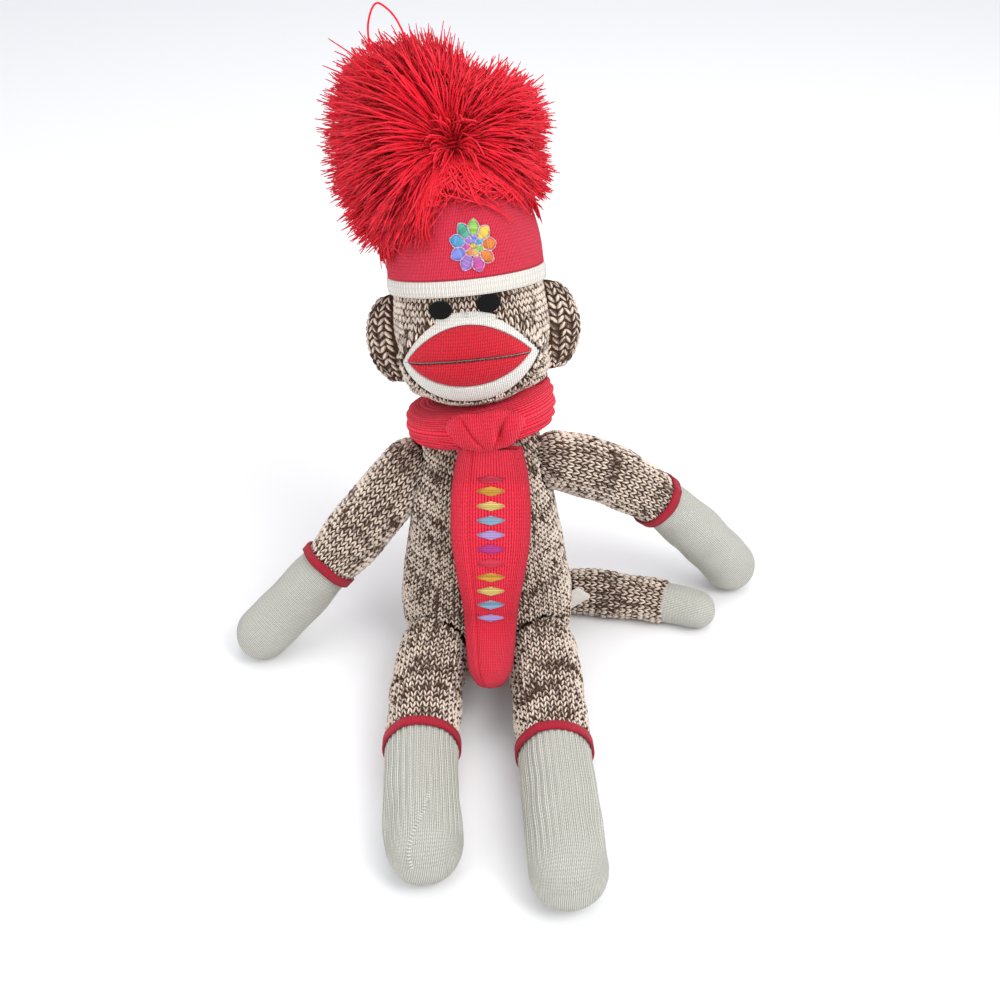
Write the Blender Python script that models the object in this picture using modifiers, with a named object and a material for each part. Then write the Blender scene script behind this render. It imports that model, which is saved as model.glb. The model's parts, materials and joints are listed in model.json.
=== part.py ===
"""Sock monkey doll, sitting: knitted skins over stuffing, hat with a pom-pom, and a scarf.

Lengths are in metres, +Z is up, the doll faces -Y and +X is its own left side. The origin is
on the floor under the rump. Limbs turn on the round stuffed ends that sit in the body.
"""
import math

import bmesh
import bpy
import numpy as np
from mathutils import Matrix, Vector

# Clearances, cloth and facets
GAP = 0.0003
SOCKET_GAP = 0.0008
FLAP_GAP = 0.0008
SKIN = 0.0018
FLOOR_CUT = 0.0005
OVERRUN = 0.004
CUTTER_SIZE = 0.5
BODY_SEGMENTS = 22
LIMB_SEGMENTS = 14
SOCKET_SEGMENTS = 18
SOCKET_RINGS = 9
HOLLOW_SEGMENTS = 12
HOLLOW_RINGS = 6
DOME_STEPS = 3

# Torso, a leaning bag with a broad seat
TORSO_HEIGHT = 0.146
TORSO_HALF_WIDTH = 0.0505
TORSO_HALF_DEPTH = 0.041
TORSO_LEAN = 0.0405
TORSO_SIDE_LEAN = -0.0045
SEAT_SHARE = 0.07
LEAN_POWER = 1.25
TORSO_HEIGHT_SHARES = (0, 0.025, 0.07, 0.14, 0.25, 0.4, 0.55, 0.7, 0.82, 0.9, 0.96, 1)
TORSO_WIDTH_SHARES = (0.76, 0.87, 0.945, 0.985, 1, 0.945, 0.865, 0.8, 0.735, 0.645, 0.52, 0)
TORSO_DEPTH_SHARES = (0.76, 0.87, 0.945, 0.985, 1, 0.985, 0.94, 0.875, 0.8, 0.71, 0.6, 0)

# Neck and head, measured along the head's own leaning axis from the neck
NECK_RADIUS = 0.020
NECK_WAD_RADIUS = 0.0155
NECK_MOUTH_RADIUS = 0.014
HEAD_LEAN = math.radians(19)
HEAD_ROLL = math.radians(-6)
HEAD_HEIGHT = 0.124
HEAD_HALF_WIDTH = 0.0435
HEAD_DEPTH_SHARE = 0.95
HEAD_HEIGHT_SHARES = (0.14, 0.175, 0.255, 0.38, 0.52, 0.66, 0.8, 0.9, 0.97, 1)
HEAD_WIDTH_SHARES = (0.6, 0.765, 0.925, 1, 0.985, 0.93, 0.8, 0.58, 0.285, 0)
NECK_STEPS = 4
NECK_WRAP = math.radians(122)
WAD_SEGMENTS = 14
WAD_RINGS = 8

# Hat, pulled down to the brow; its tip stands off the head by the slack
BRIM_HEIGHT = 0.072
BRIM_WIDTH = 0.009
BRIM_THICKNESS = 0.0027
BRIM_ROW_SHARES = (0, 0.15, 0.85, 1)
HAT_WALL = 0.0022
HAT_SLACK = 0.022
HAT_HEIGHT = HEAD_HEIGHT - BRIM_HEIGHT - BRIM_WIDTH + HAT_SLACK
HAT_HEIGHT_SHARES = (0, 0.18, 0.36, 0.54, 0.7, 0.84, 0.94, 1)
HAT_WIDTH_SHARES = (1, 0.99, 0.95, 0.87, 0.74, 0.53, 0.28, 0)

# Pom-pom
TUFT_LENGTH = 0.056
TUFT_RADIUS = 0.0155
TUFT_SEGMENTS = 6
TUFT_PLACE_SHARES = (0.12, 0.5, 0.8, 0.95)
TUFT_WIDTH_SHARES = (0.36, 0.72, 1, 0.6)
TUFT_LEANS = (math.radians(20), math.radians(54), math.radians(86), math.radians(112))
TUFT_COUNTS = (3, 6, 8, 7)
TUFT_LENGTH_SHARES = (0.92, 0.97, 1.0, 0.98)
LOBE_SHARE = 0.09
LOBE_TURN = math.radians(200)
POMPOM_CORE_RADIUS = 0.024
POMPOM_CORE_SEGMENTS = 12
POMPOM_CORE_RINGS = 6
POMPOM_RISE = 0.008
TIE_RADIUS = 0.0045
TIE_SEGMENTS = 10
TIE_RINGS = 6

# Muzzle, an oval pad with red lips
MUZZLE_HALF_WIDTH = 0.0395
MUZZLE_HALF_HEIGHT = 0.0270
MUZZLE_REACH = 0.044
MUZZLE_ROOT = 0.020
MUZZLE_PLACE = 0.0367
MUZZLE_SEGMENTS = 24
MUZZLE_RINGS = 6
LIPS_HALF_WIDTH = 0.0345
LIPS_HALF_HEIGHT = 0.0158
LIPS_RISE = 0.0027
LIPS_REACH_SHARE = 0.93
LIPS_POINTS = 9
MOUTH_RISE = 0.0017
THREAD_RADIUS = 0.0009
THREAD_REACH_SHARE = 0.76
THREAD_POINTS = 11

# Eyes and ears
EYE_RADIUS = 0.0057
EYE_THICKNESS = 0.0014
EYE_SPACING = 0.0133
EYE_HEIGHT = 0.0652
EYE_SEGMENTS = 20
EAR_REACH = 0.0185
EAR_HALF_HEIGHT = 0.0265
EAR_HALF_THICKNESS = 0.0032
EAR_PLACE = 0.044
EAR_BACK = 0.004
EAR_SEGMENTS = 16
EAR_RINGS = 8

# Scarf
COLLAR_RADIUS = 0.0345
COLLAR_HALF_WIDTH = 0.0092
COLLAR_HALF_HEIGHT = 0.0108
COLLAR_DROP = 0.0035
COLLAR_SEGMENTS = 22
COLLAR_SIDES = 8
KNOT_HALF_WIDTH = 0.020
KNOT_HALF_DEPTH = 0.0105
KNOT_HALF_HEIGHT = 0.0095
KNOT_SIDE = 0.005
KNOT_SEGMENTS = 16
KNOT_RINGS = 9
SCARF_THICKNESS = 0.004
SCARF_WIDTH = 0.046
SCARF_PLACE_SHARES = (0, 0.12, 0.25, 0.37, 0.52, 0.61, 0.72, 0.82, 0.92, 0.975, 1)
SCARF_WIDTH_SHARES = (0.78, 0.93, 1, 0.98, 0.83, 0.72, 0.65, 0.6, 0.5, 0.36, 0.2)
SCARF_EDGE_SHARE = 0.25
SCARF_SIDE = 0.0015
SCARF_TUCK_SHARE = 0.27
LAP_HEIGHT = 0.039
LAP_REACH = 0.084
LAP_BEND = 0.014
SCARF_STEPS = 9
BEND_STEPS = 4
LAP_STEPS = 4

# Arms, from the shoulder to the middle of the hand's round end
ARM_ROOT_RADIUS = 0.0170
ARM_RADIUS = 0.0180
ARM_SWELL_SHARES = (1, 0.97, 0.88)
HAND_RADIUS = 0.0168
SHOULDER_DROPS = (0.036, 0.031)
SHOULDER_SPACING = 0.044
SHOULDER_BACK = 0.030
HAND_PLACES = ((-0.1373, -0.0128), (0.1553, 0.0525))
ARM_ARCHES = (-0.0043, 0.0155)
WRIST_SHARE = 0.55
ARM_PLACE_SHARES = (0, 0.22, 0.4, WRIST_SHARE, 0.75, 1)
SHOULDER_SWING = math.radians(75)

# Legs, from the hip to the middle of the foot's round end
LEG_ROOT_RADIUS = 0.0202
LEG_RADIUS = 0.0204
ANKLE_RADIUS = 0.0200
FOOT_RADIUS = 0.0203
HIP_SPACING = 0.0325
HIP_FORWARD = 0.034
FOOT_PLACES = ((-0.032, -0.178), (0.0415, -0.194))
LEG_BOWS = (-0.004, 0)
ANKLE_SHARES = (0.53, 0.5)
LEG_PLACE_SHARES = (0, 0.12, 0.3)
FOOT_START_SHARE = 0.8
HIP_SWING = math.radians(50)

# Tail
TAIL_ROOT_RADIUS = 0.0135
TAIL_RADIUS = 0.0138
TAIL_PLACE = (0.041, 0.029)
TAIL_END = (0.130, 0.0135)
TAIL_BOW = 0.004
TAIL_TIP_SHARE = 0.78
TAIL_PLACE_SHARES = (0, 0.15, 0.5, TAIL_TIP_SHARE, 1)
TAIL_TAPER_SHARES = (1, 1, 0.93, 0.9)
TAIL_SWING = math.radians(30)
TRIM_STEPS = 3

# Ribbons round the wrists and ankles, and the label in the side seam
RIBBON_WIDTH = 0.005
RIBBON_THICKNESS = 0.0012
LABEL_WIDTH = 0.012
LABEL_HEIGHT = 0.018
LABEL_THICKNESS = 0.0007
LABEL_PLACE = 0.004
LABEL_FOOT = 0.010

UP = Vector((0, 0, 1))
PARTS = "sock_monkey_doll"
CUTTERS = "sock_monkey_cutters"


def start_scene():
    """Empty the scene and make the two collections."""
    for thing in list(bpy.data.objects):
        bpy.data.objects.remove(thing, do_unlink=True)
    for name in (PARTS, CUTTERS):
        old = bpy.data.collections.get(name)
        if old:
            bpy.data.collections.remove(old)
        bpy.context.scene.collection.children.link(bpy.data.collections.new(name))


def material(name, colour, roughness=0.95):
    """Return a plain cloth material, made once."""
    found = bpy.data.materials.get(name)
    if found:
        return found
    made = bpy.data.materials.new(name)
    made.use_nodes = True
    shader = made.node_tree.nodes["Principled BSDF"]
    shader.inputs["Base Color"].default_value = (*colour, 1)
    shader.inputs["Roughness"].default_value = roughness
    shader.inputs["Metallic"].default_value = 0
    return made


MARL = ("ragg_marl_knit", (0.165, 0.105, 0.075))
CREAM = ("cream_knit", (0.70, 0.69, 0.62))
RED = ("red_knit", (0.57, 0.014, 0.028))
SCARF_RED = ("scarf_red_knit", (0.72, 0.04, 0.065))
CRIMSON = ("crimson_ribbon", (0.50, 0.008, 0.035))
WHITE = ("white_ribbing", (0.78, 0.79, 0.80))
YARN = ("red_yarn", (0.60, 0.02, 0.035))
BLACK = ("black_felt", (0.008, 0.008, 0.009))
THREAD = ("black_thread", (0.01, 0.01, 0.011))
FILLING = ("polyester_filling", (0.83, 0.83, 0.82))
LABEL = ("white_satin_label", (0.86, 0.86, 0.85))


def place(name, mesh, look=None, location=(0, 0, 0), parent=None):
    """Wrap a mesh in a named object, as a part with a look or as a hidden cutter."""
    thing = bpy.data.objects.new(name, mesh)
    thing.location = location
    thing.parent = parent
    bpy.data.collections[PARTS if look else CUTTERS].objects.link(thing)
    if look:
        mesh.materials.append(material(*look))
        mesh.shade_smooth()
        mesh.set_sharp_from_angle(angle=math.radians(50))
    else:
        thing.hide_render = True
        thing.display_type = "WIRE"
    return thing


def finish_mesh(name, work, inset=0):
    """Turn the faces outwards, draw the surface in evenly, and write the mesh."""
    bmesh.ops.recalc_face_normals(work, faces=work.faces)
    if inset:
        work.normal_update()
        moves = [(vert, vert.normal * vert.calc_shell_factor() * -inset) for vert in work.verts]
        for vert, move in moves:
            vert.co += move
    mesh = bpy.data.meshes.new(name)
    work.to_mesh(mesh)
    work.free()
    return mesh


def loft(name, rings, closed_start=True, closed_end=True, inset=0):
    """Skin a row of unlike rings; a ring of one point is a pole, an open end stays open."""
    work = bmesh.new()
    rows = [[work.verts.new(point) for point in ring] for ring in rings]
    for near, far in zip(rows, rows[1:]):
        count = max(len(near), len(far))
        for index in range(count):
            after = (index + 1) % count
            if len(near) == 1:
                work.faces.new((near[0], far[index], far[after]))
            elif len(far) == 1:
                work.faces.new((near[index], near[after], far[0]))
            else:
                work.faces.new((near[index], near[after], far[after], far[index]))
    if closed_start and len(rows[0]) > 1:
        work.faces.new(rows[0])
    if closed_end and len(rows[-1]) > 1:
        work.faces.new(rows[-1])
    return finish_mesh(name, work, inset)


def ellipse_ring(centre, right, front, half_width, half_depth, segments):
    """Points round an ellipse; a vanishing one is a single point."""
    if half_width < GAP:
        return [centre]
    steps = (2 * math.pi * index / segments for index in range(segments))
    return [centre + right * (half_width * math.cos(turn)) + front * (half_depth * math.sin(turn))
            for turn in steps]


def through(share, place_shares, value_shares):
    """Read a smooth curve through a table of shares."""
    spots = np.array(place_shares, float)
    values = np.array(value_shares, float)
    slopes = np.gradient(values, spots)
    index = int(np.clip(np.searchsorted(spots, share) - 1, 0, len(spots) - 2))
    width = spots[index + 1] - spots[index]
    t = min(max((share - spots[index]) / width, 0), 1)
    start, end = values[index], values[index + 1]
    rise_in, rise_out = slopes[index] * width, slopes[index + 1] * width
    return float((2 * t**3 - 3 * t**2 + 1) * start + (t**3 - 2 * t**2 + t) * rise_in
                 + (3 * t**2 - 2 * t**3) * end + (t**3 - t**2) * rise_out)


def ball(radius, segments=SOCKET_SEGMENTS, rings=SOCKET_RINGS, squash=(1, 1, 1)):
    """A round mesh about its own middle, stretched by three shares."""
    work = bmesh.new()
    bmesh.ops.create_uvsphere(work, u_segments=segments, v_segments=rings, radius=radius)
    bmesh.ops.scale(work, vec=squash, verts=work.verts)
    return finish_mesh("ball", work)


def oval(half_width, half_depth, half_height, segments, rings):
    """An ellipsoid with three half sizes."""
    return ball(1, segments, rings, (half_width, half_depth, half_height))


def box(size_x, size_y, size_z):
    """A box about its own middle."""
    work = bmesh.new()
    bmesh.ops.create_cube(work, size=1)
    bmesh.ops.scale(work, vec=(size_x, size_y, size_z), verts=work.verts)
    return finish_mesh("box", work)


def shell(thing, thickness=SKIN):
    """Give an open surface its cloth thickness, inwards."""
    layer = thing.modifiers.new("Cloth", "SOLIDIFY")
    layer.thickness = thickness
    layer.offset = -1
    layer.use_even_offset = True
    return thing


def combine(thing, other, operation="DIFFERENCE"):
    """Cut a piece by another, or keep only what they share."""
    step = thing.modifiers.new(operation.title(), "BOOLEAN")
    step.operation = operation
    step.object = other
    step.solver = "EXACT"
    return thing


def torso_middle(height):
    """The middle of the leaning torso at a height."""
    seat = SEAT_SHARE * TORSO_HEIGHT
    share = max(0, (height - seat) / (TORSO_HEIGHT - seat))
    return Vector((TORSO_SIDE_LEAN * share, TORSO_LEAN * share**LEAN_POWER, height))


NECK = torso_middle(TORSO_HEIGHT)


def torso_sizes(height):
    """Half width and half depth of the torso at a height; its round mouth holds the neck."""
    share = height / TORSO_HEIGHT
    rim = NECK_RADIUS + SOCKET_GAP + SKIN
    width = through(share, TORSO_HEIGHT_SHARES, TORSO_WIDTH_SHARES) * TORSO_HALF_WIDTH
    depth = through(share, TORSO_HEIGHT_SHARES, TORSO_DEPTH_SHARES) * TORSO_HALF_DEPTH
    return max(width, rim), max(depth, rim)


def torso_rings():
    """Rings of the torso from its seat up to its mouth."""
    rings = []
    for share in TORSO_HEIGHT_SHARES:
        height = share * TORSO_HEIGHT
        width, depth = torso_sizes(height)
        rings.append(ellipse_ring(torso_middle(height), Vector((1, 0, 0)), Vector((0, -1, 0)),
                                  width, depth, BODY_SEGMENTS))
    return rings


def torso_front(height):
    """How far the torso's front lies at a height, as a Y value."""
    return torso_middle(height).y - torso_sizes(height)[1]


def torso_side(height, back):
    """How far the torso's left side lies at a height and a distance back, as an X value."""
    middle = torso_middle(height)
    width, depth = torso_sizes(height)
    return middle.x + width * math.sqrt(1 - ((back - middle.y) / depth)**2)


def torso(limbs):
    """The body's skin and filling, with seats cut out for the neck, limbs and tail."""
    skin = place("torso_skin", loft("torso_skin", torso_rings(), closed_end=False), MARL)
    shell(skin)
    filling = place("torso_stuffing", loft("torso_stuffing", torso_rings(), inset=SKIN + GAP), FILLING)
    for name, limb in limbs.items():
        combine(skin, place(f"{name}_seat", ball(limb.radius(0) + SOCKET_GAP), location=limb.root))
        hollow = ball(limb.radius(0) + 2 * SOCKET_GAP, HOLLOW_SEGMENTS, HOLLOW_RINGS)
        combine(filling, place(f"{name}_hollow", hollow, location=limb.root))
    neck_seat = place("neck_seat", ball(NECK_RADIUS + SOCKET_GAP), location=NECK)
    combine(skin, neck_seat)
    combine(filling, neck_seat)
    return skin, filling


def head_axis():
    """An empty at the neck, leaning and rolled as the head is."""
    axis = bpy.data.objects.new("head_axis", None)
    axis.location = NECK
    axis.rotation_mode = "QUATERNION"
    turn = Matrix.Rotation(HEAD_ROLL, 3, "Y") @ Matrix.Rotation(-HEAD_LEAN, 3, "X")
    axis.rotation_quaternion = turn.to_quaternion()
    bpy.data.collections[PARTS].objects.link(axis)
    return axis


def head_radius(height):
    """Half width of the head at a height above the neck."""
    share = height / HEAD_HEIGHT
    return through(share, HEAD_HEIGHT_SHARES, HEAD_WIDTH_SHARES) * HEAD_HALF_WIDTH


def round_ring(height, radius, depth_share=HEAD_DEPTH_SHARE, segments=BODY_SEGMENTS):
    """A level ring about the head's axis."""
    return ellipse_ring(Vector((0, 0, height)), Vector((1, 0, 0)), Vector((0, -1, 0)),
                        radius, radius * depth_share, segments)


def head_rings(closed):
    """Rings of the head: the round neck, then the egg of the head."""
    mouth = 0 if closed else math.asin(NECK_MOUTH_RADIUS / NECK_RADIUS)
    rings = []
    for step in range(NECK_STEPS + 1):
        turn = mouth + (NECK_WRAP - mouth) * step / NECK_STEPS
        rings.append(round_ring(-NECK_RADIUS * math.cos(turn), NECK_RADIUS * math.sin(turn), 1))
    for share, width in zip(HEAD_HEIGHT_SHARES, HEAD_WIDTH_SHARES):
        rings.append(round_ring(share * HEAD_HEIGHT, width * HEAD_HALF_WIDTH))
    return rings


def muzzle_form(name, inset, look, axis):
    """The muzzle's oval, drawn in by the inset, still joined to nothing."""
    mesh = oval(MUZZLE_HALF_WIDTH - inset, MUZZLE_REACH - inset, MUZZLE_HALF_HEIGHT - inset,
                MUZZLE_SEGMENTS, 2 * MUZZLE_RINGS)
    return place(name, mesh, look, (0, -MUZZLE_ROOT, MUZZLE_PLACE), axis)


def lips_prism(name, margin, axis):
    """A pointed oval from two arcs, run forwards through the muzzle."""
    half_width, half_height = LIPS_HALF_WIDTH + margin, LIPS_HALF_HEIGHT + margin
    radius = (half_width**2 + half_height**2) / (2 * half_height)
    spread = math.asin(half_width / radius)
    turns = [spread * (2 * step / LIPS_POINTS - 1) for step in range(LIPS_POINTS)]
    upper = [(radius * math.sin(turn), radius * math.cos(turn) - radius + half_height) for turn in turns]
    outline = upper + [(-across, -height) for across, height in upper]
    rings = [[Vector((across, front, height)) for across, height in outline]
             for front in (-MUZZLE_ROOT / 2, -MUZZLE_ROOT - MUZZLE_REACH - OVERRUN)]
    return place(name, loft(name, rings), location=(0, 0, MUZZLE_PLACE + LIPS_RISE), parent=axis)


def muzzle(axis, head_clear):
    """Cream pad, red lips, mouth thread and filling."""
    inner = muzzle_form("muzzle_inner", SKIN, None, axis)
    lips_cut = lips_prism("lips_cut", GAP / 2, axis)
    lips_keep = lips_prism("lips_keep", -GAP / 2, axis)
    pad = muzzle_form("muzzle_cream", 0, CREAM, axis)
    for cutter in (head_clear, inner, lips_cut):
        combine(pad, cutter)
    for name, side in (("upper_lip", 1), ("lower_lip", -1)):
        lip = muzzle_form(name, 0, RED, axis)
        rise = side * (THREAD_RADIUS + GAP + CUTTER_SIZE / 2)
        half = place(f"{name}_half", box(2 * LIPS_HALF_WIDTH * LIPS_REACH_SHARE, CUTTER_SIZE, CUTTER_SIZE),
                     location=(0, 0, MUZZLE_PLACE + MOUTH_RISE + rise), parent=axis)
        combine(lip, half, "INTERSECT")
        combine(lip, lips_keep, "INTERSECT")
        combine(lip, inner)
    filling = muzzle_form("muzzle_stuffing", SKIN + GAP, FILLING, axis)
    combine(filling, head_clear)
    mouth_thread(axis)


def mouth_thread(axis):
    """The stitched mouth line, lying in the slit between the lips."""
    curve = bpy.data.curves.new("mouth_thread", "CURVE")
    curve.dimensions = "3D"
    curve.bevel_depth = THREAD_RADIUS
    curve.bevel_resolution = 1
    curve.use_fill_caps = True
    line = curve.splines.new("POLY")
    line.points.add(THREAD_POINTS - 1)
    reach = LIPS_HALF_WIDTH * THREAD_REACH_SHARE
    for index, point in enumerate(line.points):
        across = reach * (2 * index / (THREAD_POINTS - 1) - 1)
        lift = (MOUTH_RISE / MUZZLE_HALF_HEIGHT)**2
        share = math.sqrt(1 - (across / MUZZLE_HALF_WIDTH)**2 - lift)
        front = MUZZLE_ROOT + MUZZLE_REACH * share - SKIN / 2
        point.co = (across, -front, MUZZLE_PLACE + MOUTH_RISE, 1)
    guide = bpy.data.objects.new("mouth_guide", curve)
    bpy.data.collections[CUTTERS].objects.link(guide)
    bpy.context.view_layer.update()
    mesh = bpy.data.meshes.new_from_object(guide.evaluated_get(bpy.context.evaluated_depsgraph_get()))
    bpy.data.objects.remove(guide, do_unlink=True)
    work = bmesh.new()
    work.from_mesh(mesh)
    bmesh.ops.remove_doubles(work, verts=work.verts, dist=GAP / 10)
    place("mouth_thread", finish_mesh("mouth_thread", work), THREAD, parent=axis)


def eyes(axis):
    """Two round felt eyes, lying on the face."""
    for side, name in ((-1, "right_eye"), (1, "left_eye")):
        across = side * EYE_SPACING
        radius = head_radius(EYE_HEIGHT)
        turn = math.asin(across / radius)
        lift = EYE_RADIUS**2 / (2 * radius) + GAP + EYE_THICKNESS / 2
        front = radius * HEAD_DEPTH_SHARE * math.cos(turn) + lift
        work = bmesh.new()
        bmesh.ops.create_cone(work, cap_ends=True, segments=EYE_SEGMENTS, radius1=EYE_RADIUS,
                              radius2=EYE_RADIUS, depth=EYE_THICKNESS)
        disc = place(name, finish_mesh(name, work), BLACK, (across, -front, EYE_HEIGHT), axis)
        disc.rotation_euler = (math.pi / 2, 0, turn)


def ear_hinge(side):
    """Where an ear's seam meets the head."""
    return Vector((side * head_radius(EAR_PLACE), EAR_BACK, EAR_PLACE))


def ears(axis, head_flap_clear):
    """Two flat padded ears, sewn on at the sides."""
    for side, name in ((-1, "right_ear"), (1, "left_ear")):
        mesh = oval(EAR_REACH, EAR_HALF_THICKNESS, EAR_HALF_HEIGHT, EAR_SEGMENTS, EAR_RINGS)
        ear = place(name, mesh, MARL, ear_hinge(side), axis)
        combine(ear, head_flap_clear)


def hat(axis):
    """The white ribbed brim and the red crown."""
    inner = head_radius(BRIM_HEIGHT) + GAP
    rings = [round_ring(BRIM_HEIGHT + rise, inner + BRIM_THICKNESS)
             for rise in (share * BRIM_WIDTH for share in BRIM_ROW_SHARES)]
    brim = place("hat_brim", loft("hat_brim", rings, False, False), WHITE, parent=axis)
    shell(brim, BRIM_THICKNESS)
    base = BRIM_HEIGHT + BRIM_WIDTH + GAP
    crown_rings = [round_ring(base + share * HAT_HEIGHT, width * (inner + HAT_WALL))
                   for share, width in zip(HAT_HEIGHT_SHARES, HAT_WIDTH_SHARES)]
    crown = place("hat_crown", loft("hat_crown", crown_rings, False), RED, parent=axis)
    shell(crown, HAT_WALL)
    clear_rings = [round_ring(base - OVERRUN, inner + HAT_WALL + SOCKET_GAP)]
    clear_rings += [round_ring(base + share * (HAT_HEIGHT + SOCKET_GAP),
                               width * (inner + HAT_WALL) + SOCKET_GAP)
                    for share, width in zip(HAT_HEIGHT_SHARES, HAT_WIDTH_SHARES)]
    clear = place("hat_clearance", loft("hat_clearance", clear_rings), parent=axis)
    return base + HAT_HEIGHT, clear


def tuft(work, direction, length):
    """One bundle of yarn: a tube that swells from the tie to a round end."""
    side = direction.orthogonal().normalized()
    other = direction.cross(side)
    rings = []
    for place_share, width_share in zip(TUFT_PLACE_SHARES, TUFT_WIDTH_SHARES):
        radius = TUFT_RADIUS * width_share
        ring = ellipse_ring(direction * length * place_share, side, other, radius, radius, TUFT_SEGMENTS)
        rings.append([work.verts.new(point) for point in ring])
    work.faces.new(rings[0])
    tip = work.verts.new(direction * length)
    for index in range(TUFT_SEGMENTS):
        after = (index + 1) % TUFT_SEGMENTS
        work.faces.new((rings[-1][index], tip, rings[-1][after]))
        for near, far in zip(rings, rings[1:]):
            work.faces.new((near[index], far[index], far[after], near[after]))


def tufts():
    """Rows of tufts about the tie, longer on the side where the yarn hangs in a lobe."""
    work = bmesh.new()
    for lean, count, length_share in zip(TUFT_LEANS, TUFT_COUNTS, TUFT_LENGTH_SHARES):
        for index in range(count):
            turn = 2 * math.pi * index / count + lean
            direction = Vector((math.sin(lean) * math.cos(turn), math.sin(lean) * math.sin(turn),
                                math.cos(lean)))
            lobe = 1 + LOBE_SHARE * math.sin(lean) * math.cos(turn - LOBE_TURN)
            tuft(work, direction, TUFT_LENGTH * length_share * lobe)
    return finish_mesh("pompom_tufts", work)


def pompom(axis, top, hat_clear):
    """A loose ball of yarn tufts about its tie, hanging over the hat's tip."""
    middle = (0, 0, top + POMPOM_RISE)
    bundles = place("pompom_tufts", tufts(), location=middle, parent=axis)
    core = ball(POMPOM_CORE_RADIUS, POMPOM_CORE_SEGMENTS, POMPOM_CORE_RINGS)
    ball_of_yarn = place("pompom", core, YARN, middle, axis)
    combine(ball_of_yarn, bundles, "UNION").modifiers[-1].use_self = True
    combine(ball_of_yarn, hat_clear)
    tie_place = (0, 0, top + SOCKET_GAP + TIE_RADIUS)
    room = ball(TIE_RADIUS + GAP, TIE_SEGMENTS, TIE_RINGS)
    combine(ball_of_yarn, place("tie_room", room, location=tie_place, parent=axis))
    place("pompom_tie", ball(TIE_RADIUS, TIE_SEGMENTS, TIE_RINGS), YARN, tie_place, axis)


def head(axis):
    """The head with its face, hat and pom-pom."""
    skin = place("head_skin", loft("head_skin", head_rings(False), False, True), MARL, parent=axis)
    shell(skin)
    filling = place("head_stuffing", loft("head_stuffing", head_rings(True), inset=SKIN + GAP),
                    FILLING, parent=axis)
    wad_room = place("neck_wad_room", ball(NECK_WAD_RADIUS + SOCKET_GAP, WAD_SEGMENTS, WAD_RINGS),
                     parent=axis)
    mouth = place("neck_mouth_cutter", box(NECK_MOUTH_RADIUS, NECK_MOUTH_RADIUS, 2 * NECK_RADIUS),
                  location=(0, 0, -NECK_RADIUS), parent=axis)
    combine(filling, wad_room)
    combine(filling, mouth)
    place("neck_stuffing", ball(NECK_WAD_RADIUS, WAD_SEGMENTS, WAD_RINGS), FILLING, parent=axis)
    head_clear = place("head_clearance", loft("head_clearance", head_rings(True), inset=-GAP), parent=axis)
    flap_clear = place("flap_clearance", loft("flap_clearance", head_rings(True), inset=-FLAP_GAP),
                       parent=axis)
    muzzle(axis, head_clear)
    eyes(axis)
    ears(axis, flap_clear)
    top, hat_clear = hat(axis)
    pompom(axis, top, hat_clear)


def collar_mesh(name, margin):
    """A rolled band round the neck."""
    rings = []
    for index in range(COLLAR_SEGMENTS):
        turn = 2 * math.pi * index / COLLAR_SEGMENTS
        outwards = Vector((math.cos(turn), math.sin(turn), 0))
        middle = outwards * COLLAR_RADIUS - UP * COLLAR_DROP
        rings.append(ellipse_ring(middle, outwards, UP, COLLAR_HALF_WIDTH + margin,
                                  COLLAR_HALF_HEIGHT + margin, COLLAR_SIDES))
    return loft(name, rings + rings[:1], False, False)


def close_ring(mesh):
    """Weld the two ends of a ring, and turn its faces outwards."""
    work = bmesh.new()
    work.from_mesh(mesh)
    bmesh.ops.remove_doubles(work, verts=work.verts, dist=GAP / 10)
    return finish_mesh(mesh.name, work)


def scarf(axis, torso_clear):
    """Collar, knot and the hanging end that lies down the belly and over the lap."""
    collar = place("scarf_collar", close_ring(collar_mesh("scarf_collar", 0)), SCARF_RED, parent=axis)
    combine(collar, torso_clear)
    collar_clear = place("collar_clearance", close_ring(collar_mesh("collar_clearance", GAP)), parent=axis)
    front = COLLAR_RADIUS + COLLAR_HALF_WIDTH
    knot = place("scarf_knot", oval(KNOT_HALF_WIDTH, KNOT_HALF_DEPTH, KNOT_HALF_HEIGHT, KNOT_SEGMENTS,
                                    KNOT_RINGS), SCARF_RED, (KNOT_SIDE, -front, -COLLAR_DROP), axis)
    combine(knot, collar_clear)
    combine(knot, torso_clear)
    hanging_end(axis, front)


def hanging_route(start):
    """The middle line of the hanging end: down the front, round the lap and forwards."""
    half = SCARF_THICKNESS / 2
    bottom = LAP_HEIGHT + LAP_BEND
    route = [start]
    for step in range(1, SCARF_STEPS + 1):
        height = start.z + (bottom - start.z) * step / SCARF_STEPS
        clear = torso_front(height) - 2 * GAP - half - GAP * step
        route.append(Vector((0, min(clear, start.y + half), height)))
    corner = route[-1]
    for step in range(1, BEND_STEPS + 1):
        turn = math.pi / 2 * step / BEND_STEPS
        route.append(Vector((0, corner.y - LAP_BEND * (1 - math.cos(turn)),
                             bottom - LAP_BEND * math.sin(turn))))
    last = route[-1]
    for step in range(1, LAP_STEPS + 1):
        route.append(last.lerp(Vector((0, -LAP_REACH, LAP_HEIGHT)), step / LAP_STEPS))
    return route


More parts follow.
